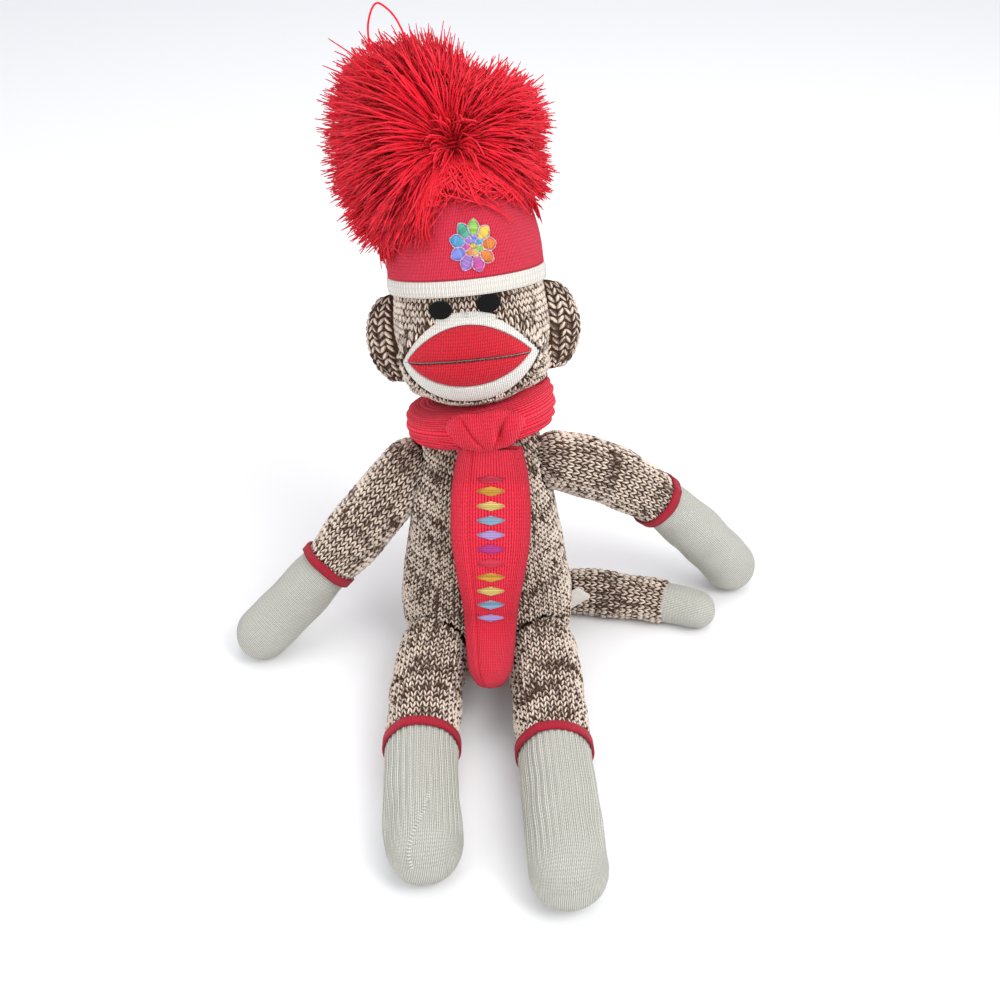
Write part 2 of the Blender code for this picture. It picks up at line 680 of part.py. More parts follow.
def hanging_end(axis, front):
    """A flat knitted strip along the route, full over the chest and narrowing to its tip."""
    bpy.context.view_layer.update()
    below = axis.matrix_world @ Vector((KNOT_SIDE, -front, -COLLAR_DROP - KNOT_HALF_HEIGHT - GAP))
    start = Vector((0, below.y, below.z - SCARF_THICKNESS * SCARF_TUCK_SHARE))
    route = hanging_route(start)
    lengths = [(after - before).length for before, after in zip(route, route[1:])]
    half_thick = SCARF_THICKNESS / 2
    edge = SCARF_THICKNESS * SCARF_EDGE_SHARE
    rings = []
    for index, point in enumerate(route):
        before, after = route[max(index - 1, 0)], route[min(index + 1, len(route) - 1)]
        normal = (after - before).normalized().cross(Vector((1, 0, 0)))
        share = sum(lengths[:index]) / sum(lengths)
        half = through(share, SCARF_PLACE_SHARES, SCARF_WIDTH_SHARES) * SCARF_WIDTH / 2
        middle = Vector((below.x * (1 - share) + SCARF_SIDE * share, 0, 0)) + point
        outline = ((half, half_thick - edge), (half - edge, half_thick), (edge - half, half_thick),
                   (-half, half_thick - edge), (-half, edge - half_thick), (edge - half, -half_thick),
                   (half - edge, -half_thick), (half, edge - half_thick))
        rings.append([middle + Vector((across, 0, 0)) + normal * out for across, out in outline])
    hinge = Vector((below.x, start.y - half_thick, start.z))
    place("scarf_end", loft("scarf_end", [[point - hinge for point in ring] for ring in rings]),
          SCARF_RED, hinge)


class Limb:
    """A stuffed tube from a round root, along a bowed line, to a round end."""

    def __init__(self, root, end, bow, place_shares, radii, towards, swing):
        self.root = root
        self.end = end
        self.bow = bow
        self.place_shares = place_shares
        self.radii = radii
        self.axis = (end - root).cross(Vector(towards)).normalized()
        self.swing = swing

    def point(self, share):
        """A place on the middle line."""
        return self.root.lerp(self.end, share) + self.bow * (4 * share * (1 - share))

    def heading(self, share):
        """The direction of the middle line."""
        step = 0.01
        return (self.point(share + step) - self.point(share - step)).normalized()

    def radius(self, share):
        """The radius along the middle line."""
        return through(share, self.place_shares, self.radii)

    def ring(self, middle, heading, radius):
        """A ring square to the heading."""
        side = heading.cross(UP).normalized()
        return ellipse_ring(middle - self.root, side, side.cross(heading), radius, radius, LIMB_SEGMENTS)

    def rings(self, start, stop, steps, swell=0):
        """Rings between two shares; a share past the end stands for the whole round end."""
        rings = []
        if start < 0:
            radius = self.radius(0)
            for step in range(DOME_STEPS):
                turn = math.pi / 2 * step / DOME_STEPS
                middle = self.root - self.heading(0) * (radius * math.cos(turn))
                rings.append(self.ring(middle, self.heading(0), radius * math.sin(turn)))
        first, last = max(start, 0), min(stop, 1)
        for step in range(steps + 1):
            share = first + (last - first) * step / steps
            rings.append(self.ring(self.point(share), self.heading(share), self.radius(share) + swell))
        if stop > 1:
            radius = self.radius(1)
            for step in range(DOME_STEPS):
                turn = math.pi / 2 * (step + 1) / DOME_STEPS
                middle = self.end + self.heading(1) * (radius * math.sin(turn))
                size = 0 if step == DOME_STEPS - 1 else radius * math.cos(turn)
                rings.append(self.ring(middle, self.heading(1), size))
        return rings


def root_trims(name, limb, torso_clear):
    """The torso outside a limb's socket, as the limb meets it along its swing."""
    trims = []
    for step in range(TRIM_STEPS):
        turn = Matrix.Rotation(-limb.swing * step / (TRIM_STEPS - 1), 4, limb.axis)
        trim = place(f"{name}_trim_{step}", torso_clear.data.copy())
        trim.matrix_world = Matrix.Translation(limb.root) @ turn @ Matrix.Translation(-limb.root)
        root = place(f"{name}_root_{step}", ball(limb.radius(0) + GAP), location=limb.root)
        trims.append(combine(trim, root))
    return trims


def limb_pieces(limb, seam, names, looks, cutters, steps=(4, 3)):
    """Sleeve, end cap, ribbon and filling of a limb, trimmed by the torso and the floor."""
    sleeve_name, cap_name, ribbon_name, filling_name = names
    length = (limb.end - limb.root).length
    half_gap = GAP / 2 / length
    sleeve = place(sleeve_name, loft(sleeve_name, limb.rings(-1, seam - half_gap, steps[0]), True, False),
                   looks[0], limb.root)
    cap = place(cap_name, loft(cap_name, limb.rings(seam + half_gap, 2, steps[1]), False, True),
                looks[1], limb.root)
    whole = limb.rings(-1, seam, steps[0]) + limb.rings(seam, 2, steps[1])[1:]
    filling = place(filling_name, loft(filling_name, whole, inset=SKIN + GAP), FILLING, limb.root)
    for piece in (sleeve, cap):
        shell(piece)
        combine(piece, cutters[0])
    for piece in (sleeve, filling):
        for cutter in cutters[1:]:
            combine(piece, cutter)
    if ribbon_name:
        half_band = RIBBON_WIDTH / 2 / length
        outer = limb.rings(seam - half_band, seam + half_band, 1, GAP + RIBBON_THICKNESS)
        ribbon = place(ribbon_name, loft(ribbon_name, outer, False, False), CRIMSON, limb.root)
        shell(ribbon, RIBBON_THICKNESS)
        combine(ribbon, cutters[0])


def arms():
    """The two arm lines, right then left."""
    made = []
    for side, drop, spot, arch in zip((-1, 1), SHOULDER_DROPS, HAND_PLACES, ARM_ARCHES):
        height = TORSO_HEIGHT - drop
        across = TORSO_SIDE_LEAN * height / TORSO_HEIGHT + side * SHOULDER_SPACING
        root = Vector((across, SHOULDER_BACK, height))
        end = Vector((*spot, HAND_RADIUS - FLOOR_CUT))
        swell = (ARM_RADIUS * share for share in ARM_SWELL_SHARES)
        radii = (ARM_ROOT_RADIUS, *swell, HAND_RADIUS, HAND_RADIUS)
        made.append(Limb(root, end, UP * arch, ARM_PLACE_SHARES, radii, UP, SHOULDER_SWING))
    return made


def legs():
    """The two leg lines, right then left, lying on the floor."""
    made = []
    for side, spot, bow, ankle in zip((-1, 1), FOOT_PLACES, LEG_BOWS, ANKLE_SHARES):
        radii = (LEG_ROOT_RADIUS, LEG_RADIUS, LEG_RADIUS, ANKLE_RADIUS, FOOT_RADIUS, FOOT_RADIUS)
        root = Vector((side * HIP_SPACING, -HIP_FORWARD, LEG_ROOT_RADIUS + FLOOR_CUT))
        end = Vector((*spot, FOOT_RADIUS - FLOOR_CUT))
        places = (*LEG_PLACE_SHARES, ankle, FOOT_START_SHARE, 1)
        made.append(Limb(root, end, Vector((bow, 0, 0)), places, radii, (side, 0, 1), HIP_SWING))
    return made


def tail():
    """The tail's line, from the back of the rump round to the doll's left."""
    root = Vector((*TAIL_PLACE, TAIL_ROOT_RADIUS + FLOOR_CUT))
    radii = (TAIL_ROOT_RADIUS, *(TAIL_RADIUS * share for share in TAIL_TAPER_SHARES))
    end = Vector((*TAIL_END, radii[-1] - FLOOR_CUT))
    return Limb(root, end, Vector((0, TAIL_BOW, 0)), TAIL_PLACE_SHARES, radii, (0, -1, 1), TAIL_SWING)


def label():
    """The bare folded label in the left side seam."""
    height = LABEL_FOOT + LABEL_HEIGHT / 2
    side = torso_side(LABEL_FOOT + LABEL_HEIGHT, LABEL_PLACE) + GAP
    place("label_tag", box(LABEL_WIDTH, LABEL_THICKNESS, LABEL_HEIGHT), LABEL,
          (side + LABEL_WIDTH / 2, LABEL_PLACE, height))


def main():
    """Build the doll."""
    start_scene()
    floor = place("floor_cutter", box(CUTTER_SIZE * 2, CUTTER_SIZE * 2, CUTTER_SIZE),
                  location=(0, 0, -CUTTER_SIZE / 2))
    torso_clear = place("torso_clearance", loft("torso_clearance", torso_rings(), inset=-GAP))
    limbs = {"right_arm": arms()[0], "left_arm": arms()[1], "right_leg": legs()[0], "left_leg": legs()[1],
             "tail": tail()}
    torso(limbs)
    trims = {name: root_trims(name, limb, torso_clear) for name, limb in limbs.items()}
    for side in ("right", "left"):
        arm, leg = f"{side}_arm", f"{side}_leg"
        limb_pieces(limbs[arm], WRIST_SHARE,
                    (f"{arm}_sleeve", f"{side}_hand", f"{side}_wrist_ribbon", f"{arm}_stuffing"),
                    (MARL, CREAM), (floor, *trims[arm]))
        limb_pieces(limbs[leg], ANKLE_SHARES[side == "left"],
                    (f"{leg}_sleeve", f"{side}_foot", f"{side}_ankle_ribbon", f"{leg}_stuffing"),
                    (MARL, CREAM), (floor, *trims[leg]))
    limb_pieces(limbs["tail"], TAIL_TIP_SHARE, ("tail_tube", "tail_tip", None, "tail_stuffing"),
                (MARL, CREAM), (floor, *trims["tail"]), (4, 1))
    axis = head_axis()
    head(axis)
    scarf(axis, torso_clear)
    label()


if __name__ == "__main__":
    main()
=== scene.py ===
import json
from math import acos, atan2, ceil, pi, radians

import bpy
import numpy as np
from bpy.props import FloatProperty, FloatVectorProperty, IntProperty, PointerProperty
from numpy import (arange, arctan2, array, broadcast_to, clip, concatenate, cos, cross, exp, gradient, hypot,
                   interp, linspace, maximum, minimum, repeat, sign, sin, sqrt, stack, where)
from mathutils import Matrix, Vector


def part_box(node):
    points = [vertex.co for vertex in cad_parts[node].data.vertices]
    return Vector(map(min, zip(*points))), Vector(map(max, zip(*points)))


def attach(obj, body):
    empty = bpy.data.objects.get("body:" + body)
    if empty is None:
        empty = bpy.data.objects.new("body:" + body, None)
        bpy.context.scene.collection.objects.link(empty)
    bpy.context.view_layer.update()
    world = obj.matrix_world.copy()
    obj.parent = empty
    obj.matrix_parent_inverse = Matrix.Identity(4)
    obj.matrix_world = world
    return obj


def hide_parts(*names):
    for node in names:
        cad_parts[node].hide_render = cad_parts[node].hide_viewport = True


bl_info = {
    "name": "Sock monkey doll",
    "version": (1, 0, 0),
    "blender": (4, 5, 0),
    "location": "3D View > Sidebar > Doll",
    "description": "Knitted skins, yarn and trimmings of a sitting sock monkey doll",
    "category": "Object",
}

# Frame: lengths in metres, +Z up, the doll faces -Y and +X is its own left side
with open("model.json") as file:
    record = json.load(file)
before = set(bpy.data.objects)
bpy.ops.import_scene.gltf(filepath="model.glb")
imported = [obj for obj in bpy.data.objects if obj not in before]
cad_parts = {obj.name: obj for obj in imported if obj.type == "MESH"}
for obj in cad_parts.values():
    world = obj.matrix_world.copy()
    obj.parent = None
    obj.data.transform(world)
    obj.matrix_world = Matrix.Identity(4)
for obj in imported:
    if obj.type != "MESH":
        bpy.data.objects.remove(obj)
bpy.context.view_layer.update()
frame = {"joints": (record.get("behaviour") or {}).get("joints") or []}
JOINTS = {joint["name"]: joint for joint in frame["joints"]}
NECK, HEAD_UP = (array(JOINTS["neck_turn"][key]) for key in ("pos_m", "axis"))
HEAD_LEFT = array(JOINTS["head_nod"]["axis"])
HEAD_TURN = np.column_stack([HEAD_LEFT, cross(HEAD_UP, HEAD_LEFT), HEAD_UP])
LEFT, FRONT, UP = array(((1.0, 0, 0), (0, -1, 0), (0, 0, 1)))

# Torso
TORSO_HEIGHT = NECK[2]
TORSO_HALF_WIDTH, TORSO_HALF_DEPTH = 0.0505, 0.041
TORSO_PLACES = (0, 0.025, 0.07, 0.14, 0.25, 0.4, 0.55, 0.7, 0.82, 0.9, 0.96, 1)
TORSO_WIDTHS = (0.76, 0.87, 0.945, 0.985, 1, 0.945, 0.865, 0.8, 0.735, 0.645, 0.52, 0.44)
TORSO_DEPTHS = (0.76, 0.87, 0.945, 0.985, 1, 0.985, 0.94, 0.875, 0.8, 0.71, 0.6, 0.54)
SEAT_SHARE = 0.07
LEAN_POWER = 1.25
NECK_RADIUS = 0.020
WAD_RADIUS = 0.0155
SOCKET_GAP = 0.0008

# Head, by height above the neck along its own axis
HEAD_HEIGHT, HEAD_HALF_WIDTH = 0.124, 0.0435
HEAD_DEPTH_SHARE = 0.95
HEAD_PLACES = (0.14, 0.175, 0.255, 0.38, 0.52, 0.66, 0.8, 0.9, 0.97, 1)
HEAD_WIDTHS = (0.6, 0.765, 0.925, 1, 0.985, 0.93, 0.8, 0.58, 0.285, 0)
NECK_WRAP = radians(122)
JAW, JAW_SHARE = 0.0135, 0.119

# Muzzle, lips, eyes and ears
MUZZLE_HALF = array((0.0395, 0.044, 0.0270))
MUZZLE_MIDDLE = array((0, -0.020, 0.0367))
MUZZLE_SWELL = 0.0014
LIPS_HALF_WIDTH, LIPS_HALF_HEIGHT = 0.0345, 0.0158
LIPS_HEIGHT = MUZZLE_MIDDLE[2] + 0.0027
MOUTH_DROP, MOUTH_ARCH = 0.001, 0.0025
EYE_HALF_WIDTH, EYE_HALF_HEIGHT, EYE_THICKNESS = 0.0066, 0.0050, 0.0016
EYE_SPACING = 0.0133
EYE_HEIGHTS = {"right": 0.0654, "left": 0.0669}
EAR_REACH, EAR_HALF_THICKNESS, EAR_HALF_HEIGHT = 0.0185, 0.0032, 0.0265

# Hat
BRIM_HEIGHT, BRIM_WIDTH, BRIM_THICKNESS = 0.072, 0.009, 0.0027
ROSETTE_HEIGHT, ROSETTE_TURN = 0.0985, 0.19
HAT_WALL, HAT_HEIGHT = 0.0022, 0.065
HAT_PLACES = (0, 0.18, 0.36, 0.54, 0.7, 0.84, 0.94, 1)
HAT_WIDTHS = (1, 0.99, 0.95, 0.87, 0.74, 0.53, 0.28, 0.02)

# Limbs: radii along each line, and where the line ends
ARM_RADII = (0.0170, 0.0180, 0.0175, 0.0158, 0.0168, 0.0168)
ARM_PLACES = (0, 0.22, 0.4, 0.55, 0.75, 1)
HAND_SPOTS = {"right": (-0.1373, -0.0128, 0.0163), "left": (0.1553, 0.0525, 0.0163)}
ARM_ARCHES = {"right": -0.0043, "left": 0.0155}
WRIST_SHARE = 0.55
LEG_RADII = (0.0202, 0.0204, 0.0204, 0.0200, 0.0203, 0.0203)
FOOT_SPOTS = {"right": (-0.032, -0.178, 0.0198), "left": (0.0415, -0.194, 0.0198)}
ANKLE_SHARES = {"right": 0.53, "left": 0.5}
LEG_BOWS = {"right": -0.004, "left": 0.0}
TAIL_RADII = (0.0135, 0.0138, 0.0138, 0.0128, 0.0124)
TAIL_PLACES = (0, 0.15, 0.5, 0.78, 1)
TAIL_SPOT = (0.130, 0.0135, 0.0119)
TAIL_BOW = 0.004
TAIL_TIP_SHARE = 0.78
FLOOR_GAP = 0.0002

# Scarf: the collar, its knot and the hanging end
COLLAR_RADIUS, COLLAR_HALF_WIDTH, COLLAR_HALF_HEIGHT, COLLAR_DROP = 0.0345, 0.0092, 0.0122, 0.0035
NECK_TOP = 0.0106
KNOT_HALF = array((0.0200, 0.0092, 0.0122))
KNOT_SIDE = 0.005
SCARF_THICKNESS, SCARF_FLAT_WIDTH = 0.0042, 0.048
LAP_HEIGHT, LAP_REACH, LAP_BEND = 0.039, 0.084, 0.014
SCARF_PLACES = (0, 0.12, 0.25, 0.37, 0.52, 0.61, 0.72, 0.82, 0.92, 0.965, 0.99, 1)
SCARF_WIDTHS = (0.0359, 0.0428, 0.046, 0.0451, 0.0382, 0.0331, 0.0299, 0.0276, 0.023, 0.017, 0.010, 0.001)
CHAIN_START, CHAIN_END = 0.13, 0.66

# Embroidery
ROSETTE_DYES = ("#e8893c", "#e9c84f", "#9ccf5a", "#55b79a", "#5aa6cf", "#7f8fe0", "#b184d6", "#d25fae")
CHAIN_DYES = ("#d8344e", "#dba63a", "#e6d27a", "#8fb6cf", "#b7a2dc", "#c33a97")
OUTLINE_DYE = "#e3c6e6"
THREAD_PITCH = 0.00046

# Camera, measured from the photograph
CAMERA_PLACE = (0.0070, -0.6379, 0.5886)
CAMERA_TILT = radians(53)
CAMERA_LENS = 49.66

# Pom-pom: reach of its ends by degrees round the tie, in the plane that faces the camera
TIE_HEIGHT = 0.1486
PICTURE_UP = array((0, cos(CAMERA_TILT), sin(CAMERA_TILT)))
PICTURE_OUT = array((0, -sin(CAMERA_TILT), cos(CAMERA_TILT)))
POMPOM_STRAND = 0.00062
POMPOM_TURNS = (0, 18, 37, 58, 72, 88, 102, 114, 127, 143, 158, 180, 205, 225, 241, 255, 268, 290, 315, 326, 337,
                350, 360)
POMPOM_REACHES = (0.047, 0.053, 0.058, 0.056, 0.042, 0.052, 0.065, 0.071, 0.076, 0.079, 0.072, 0.067, 0.065,
                  0.067, 0.059, 0.043, 0.026, 0.022, 0.025, 0.042, 0.055, 0.051, 0.047)
CORE_RADIUS = 0.008
LOOP_SPOTS = ((-0.044, 0.048), (-0.0468, 0.062), (-0.046, 0.072), (-0.0425, 0.0792), (-0.0372, 0.077),
              (-0.031, 0.07), (-0.024, 0.055))
LABEL_TILT = radians(52)

# Yarns and knits: width and height of one stitch
MARL_STITCH, FINE_STITCH, HAND_STITCH = (0.0038, 0.0040), (0.0019, 0.0016), (0.0021, 0.0019)
FOOT_STITCH, SCARF_STITCH, RIM_STITCH = (0.00195, 0.0021), (0.0024, 0.0021), (0.0022, 0.0016)
FOOT_RIB = 0.0005


def linear(hex_colour):
    """Turn an sRGB hex colour into the linear one that shaders use."""
    parts = [int(hex_colour[index:index + 2], 16) / 255 for index in (1, 3, 5)]
    return [part / 12.92 if part <= 0.04045 else ((part + 0.055) / 1.055)**2.4 for part in parts]


def dye_setting(name, hex_colour):
    """A colour that a user would change."""
    return FloatVectorProperty(name=name, description=f"Colour of the {name.lower()}", subtype="COLOR",
                               size=3, min=0, max=1, default=linear(hex_colour))


def length_setting(name, text, length, least=0.001):
    """A length that a user would change."""
    return FloatProperty(name=name, description=text, default=length, min=least, unit="LENGTH")


class DollColours(bpy.types.PropertyGroup):
    """Colours of the doll's yarns and cloths."""

    marl_brown: dye_setting("Brown ply", "#523523")
    marl_pale: dye_setting("Pale ply", "#f0dfce")
    cream: dye_setting("Cream heel", "#e0ddd5")
    sock: dye_setting("Cream sock", "#d0cfc4")
    white: dye_setting("White ribbing", "#dcd7ce")
    hat_red: dye_setting("Hat red", "#f42f4c")
    lips_red: dye_setting("Lips red", "#e0142d")
    scarf_red: dye_setting("Scarf red", "#ff2643")
    yarn_red: dye_setting("Pom-pom red", "#f01a30")
    crimson: dye_setting("Crimson ribbon", "#b50f2e")
    felt: dye_setting("Black felt", "#070708")


class DollSizes(bpy.types.PropertyGroup):
    """Sizes of the doll's stitches and trimmings."""

    stitch_width: length_setting("Stitch width", "Width of a V of the marl knit", MARL_STITCH[0])
    stitch_height: length_setting("Stitch height", "Height of a V of the marl knit", MARL_STITCH[1])
    relief: length_setting("Stitch relief", "How far marl yarn stands out of the skin", 0.0009, 0)
    strands: IntProperty(name="Pom-pom strands", description="Number of yarn ends in the pom-pom",
                         default=6900, min=100)
    strand_radius: length_setting("Strand radius", "Radius of the pom-pom's yarn", POMPOM_STRAND, 0.0003)
    ribbon_width: length_setting("Ribbon width", "Width of the wrist and ankle ribbons", 0.006)


def dye(key):
    """One of the doll's colours, as the user has it."""
    return list(getattr(bpy.context.scene.doll_colours, key))


# Small tools for numbers

def pivot(joint):
    """The place of a joint."""
    return array(JOINTS[joint]["pos_m"])


def through(share, places, values):
    """Read a smooth curve through a table, for many shares at once."""
    share, places, values = (np.asarray(each, float) for each in (share, places, values))
    slopes = gradient(values, places)
    index = clip(np.searchsorted(places, share) - 1, 0, len(places) - 2)
    width = places[index + 1] - places[index]
    t = clip((share - places[index]) / width, 0, 1)
    return ((2 * t**3 - 3 * t**2 + 1) * values[index] + (t**3 - 2 * t**2 + t) * width * slopes[index]
            + (3 * t**2 - 2 * t**3) * values[index + 1] + (t**3 - t**2) * width * slopes[index + 1])


def lumps(points, size, seed):
    """Soft unevenness from -1 to 1, as stuffing gives a skin."""
    random = np.random.default_rng(seed)
    waves = random.normal(size=(7, 3))
    waves *= (2 * pi / size) / np.linalg.norm(waves, axis=1)[:, None]
    return sum(sin(points @ wave + random.uniform(0, 2 * pi)) for wave in waves) / 3.5


def from_head(points):
    """Turn places in the head's own axes into the frame's."""
    return points @ HEAD_TURN.T + NECK


def to_head(points):
    """Turn places in the frame into the head's own axes."""
    return (points - NECK) @ HEAD_TURN


def unit(vectors):
    """Vectors of length one."""
    return vectors / maximum(np.linalg.norm(vectors, axis=-1, keepdims=True), 1e-12)


def turned(points, centre, axis, angle):
    """Points turned about an axis through a centre."""
    axis, arms = unit(np.asarray(axis)), points - centre
    return (centre + arms * cos(angle) + cross(axis, arms) * sin(angle)
            + axis * (arms @ axis)[..., None] * (1 - cos(angle)))


def circle(count):
    """Angles once round."""
    return linspace(0, 2 * pi, count, endpoint=False)


def chord(radius, offset):
    """Half the chord of a circle at an offset from its middle."""
    return sqrt(maximum(radius**2 - offset**2, 0))


def bell(value, middle, width):
    """A soft bump of height one."""
    return exp(-((value - middle) / width)**2)


def squared(value, power):
    """A sine or cosine made squarer."""
    return sign(value) * abs(value)**power


# Surfaces as grids

class Cloth:
    """A smooth closed skin as a grid: rows from end to end, columns around, poles or a ring at the ends."""

    def __init__(self, points, ring=False):
        self.ring, self.points = ring, points
        middle = points.mean(axis=1, keepdims=True) if ring else points.mean(axis=(0, 1))
        if ((points - middle) * self.normals()).sum() < 0:
            self.points = points[:, ::-1]

    def normals(self):
        """Outward directions at the grid's points."""
        across, around = (np.roll(self.points, -1, axis) - np.roll(self.points, 1, axis) for axis in (1, 0))
        found = cross(across, around if self.ring else gradient(self.points, axis=0))
        if not self.ring:
            found[0], found[-1] = found[1].mean(axis=0), found[-2].mean(axis=0)
        return unit(found)

    def steps(self):
        """Mean distances from row to row."""
        return np.linalg.norm(np.diff(self.points, axis=0), axis=2).mean(axis=1)

    def even(self, rows):
        """The same skin with its rows evenly spaced."""
        places = concatenate([[0], np.cumsum(self.steps())])
        wanted = linspace(0, places[-1], rows)
        index = clip(np.searchsorted(places, wanted) - 1, 0, len(places) - 2)
        t = ((wanted - places[index]) / (places[index + 1] - places[index]))[:, None, None]
        return Cloth(self.points[index] * (1 - t) + self.points[index + 1] * t)

    def moved(self, shift):
        """The same skin moved along its outward directions."""
        return Cloth(self.points + self.normals() * np.asarray(shift)[..., None], self.ring)

    def length(self):
        """The mean length from the first row to the last."""
        return float(self.steps().sum())

    def girths(self):
        """The distance round each row."""
        return np.linalg.norm(np.roll(self.points, -1, axis=1) - self.points, axis=2).sum(axis=1)

    def at(self, u, v):
        """Points and outward directions at shares u around and v along."""
        rows, columns = self.points.shape[:2]
        u, v = (u % 1) * columns, clip(v, 0, 1) * (rows - 1)
        row, column = minimum(v.astype(int), rows - 2), u.astype(int) % columns
        after = (column + 1) % columns
        a, b = (v - row)[..., None], (u - np.floor(u))[..., None]
        point, normal = ((values[row, column] * (1 - b) + values[row, after] * b) * (1 - a)
                         + (values[row + 1, column] * (1 - b) + values[row + 1, after] * b) * a
                         for values in (self.points, self.normals()))
        return point, unit(normal)

    def mesh(self):
        """Vertices, triangles and the (u, v) shares of their corners."""
        rows, columns = self.points.shape[:2]
        grid = arange(rows * columns).reshape(rows, columns)
        points = self.points.reshape(-1, 3)
        if not self.ring:
            points = concatenate([points[:1], points[columns:-columns], points[-1:]])
            grid = maximum(grid - columns + 1, 0)
            grid[-1] = len(points) - 1
        steps = rows if self.ring else rows - 1
        row, column = np.meshgrid(arange(steps), arange(columns), indexing="ij")
        corners = [(row, column), (row, column + 1), (row + 1, column + 1), (row + 1, column)]
        index = stack([grid[r % rows, c % columns] for r, c in corners], axis=-1)
        shares = stack([stack([c / columns, r / steps], axis=-1) for r, c in corners], axis=-2)
        first, second = ([index[..., three], shares[..., three, :]] for three in ([0, 1, 2], [0, 2, 3]))
        if not self.ring:
            first, second = [part[1:] for part in first], [part[:-1] for part in second]
        triangles, uvs = (concatenate([each.reshape(-1, *each.shape[2:]) for each in pair])
                          for pair in zip(first, second))
        return points, triangles, uvs


def rings(middles, rights, fronts, half_widths, half_depths, columns):
    """Ellipses about a row of middles, starting at the back."""
    turn = circle(columns) - pi / 2
    half_widths, half_depths = (np.asarray(value, float)[:, None, None] for value in (half_widths, half_depths))
    rights, fronts = (broadcast_to(value, (len(middles), 3))[:, None] for value in (rights, fronts))
    return (middles[:, None] + rights * half_widths * cos(turn)[:, None]
            + fronts * half_depths * sin(turn)[:, None])


def egg(middle, axis, half_length, front, half_width, half_depth, rows, columns, power=1):
    """Rings of a closed egg about an axis; its half width lies to the doll's left."""
    turns = linspace(0, pi, rows)
    return rings(middle - axis * half_length * cos(turns)[:, None], LEFT, front, half_width * sin(turns),
                 half_depth * sin(turns)**power, columns)


# Leaves: short three-sided stitches laid on a skin

LEAF_STATIONS = (0.25, 0.55, 0.82)
LEAF_FACES = array([(0, 3, 1), (0, 2, 3), (0, 1, 2)]
                   + [face for start in (1, 4)
                      for left, right in ((0, 2), (2, 1), (1, 0))
                      for face in ((start + left, start + right, start + right + 3),
                                   (start + left, start + right + 3, start + left + 3))]
                   + [(10, 7, 9), (10, 9, 8), (10, 8, 7)])
LEAF_ACROSS = array([0.5] + [0.05, 0.95, 0.5] * 3 + [0.5])
LEAF_ALONG = array([0.0, *repeat(LEAF_STATIONS, 3), 1.0])
LEAF_SINK = 0.4


def leaves(cloth, starts, ends, half_widths, rise):
    """Vertices of leaves from starts to ends, given as (u, v) shares, on a skin."""
    girths = interp(linspace(0, 1, 40), linspace(0, 1, len(cloth.points)), cloth.girths())
    girth = interp(((starts + ends) / 2)[:, 1], linspace(0, 1, 40), girths)
    scale = stack([maximum(girth, 1e-5), np.full(len(starts), cloth.length())], axis=-1)
    along = unit((ends - starts) * scale)
    across = stack([along[:, 1], -along[:, 0]], axis=-1) / scale
    rows = [(starts, -LEAF_SINK * rise)]
    for station in LEAF_STATIONS:
        swell = sin(pi * station)**0.5
        spot = starts + (ends - starts) * station
        reach = across * (half_widths * swell)[:, None]
        rows += [(spot - reach, -LEAF_SINK * rise), (spot + reach, -LEAF_SINK * rise), (spot, rise * swell)]
    spots, heights = zip(*rows, (ends, -LEAF_SINK * rise))
    spots = stack(spots, axis=1)
    points, normals = cloth.at(spots[..., 0], spots[..., 1])
    return points + normals * array(heights)[:, None]


def cells(count):
    """Corners of equal square cells for many small things, and how many fit along a side."""
    side = ceil(sqrt(count))
    return stack([arange(count) % side, arange(count) // side], axis=-1)[:, None, None], side


def leaf_mesh(points):
    """Triangles and bake places of a stack of leaves."""
    cell, side = cells(len(points))
    triangles = (LEAF_FACES[None] + 11 * arange(len(points))[:, None, None]).reshape(-1, 3)
    spots = stack([0.08 + 0.62 * LEAF_ACROSS, 0.06 + 0.88 * LEAF_ALONG], axis=-1)[LEAF_FACES]
    hidden = np.all((LEAF_FACES - 1) % 3 != 2, axis=1)
    spots[hidden, :, 0] = 0.78 + 0.16 * LEAF_ACROSS[LEAF_FACES[hidden]]
    return triangles, ((cell + spots[None]) / side).reshape(-1, 3, 2)


# Pieces

def piece(name, points, triangles, layers, looks, face_looks=None, values=None):
    """Make an object from arrays, with its UV layers, material of each face and point values."""
    mesh = bpy.data.meshes.new(name)
    mesh.vertices.add(len(points))
    mesh.vertices.foreach_set("co", points.astype(np.float32).ravel())
    mesh.loops.add(triangles.size)
    mesh.loops.foreach_set("vertex_index", triangles.astype(np.int32).ravel())
    mesh.polygons.add(len(triangles))
    mesh.polygons.foreach_set("loop_start", arange(0, triangles.size, 3, dtype=np.int32))
    if face_looks is not None:
        mesh.polygons.foreach_set("material_index", face_looks.astype(np.int32))
    for layer, corners in layers.items():
        mesh.uv_layers.new(name=layer).data.foreach_set("uv", corners.astype(np.float32).ravel())
    for key, numbers in (values or {}).items():
        kind, field = ("FLOAT", "value") if numbers.ndim == 1 else ("FLOAT_COLOR", "color")
        mesh.attributes.new(key, kind, "POINT").data.foreach_set(field, numbers.astype(np.float32).ravel())
    for look in looks:
        mesh.materials.append(look)
    mesh.update()
    mesh.shade_smooth()
    made = bpy.data.objects.new(name, mesh)
    bpy.context.scene.collection.objects.link(made)
    return made


def settle(made, body, slot, *nodes, fill=None):
    """Hide the model parts that a piece replaces and hang it on the body that carries it; slot is not used, and fill is
    not used.
    """
    if nodes:
        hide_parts(*nodes)
    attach(made, body)


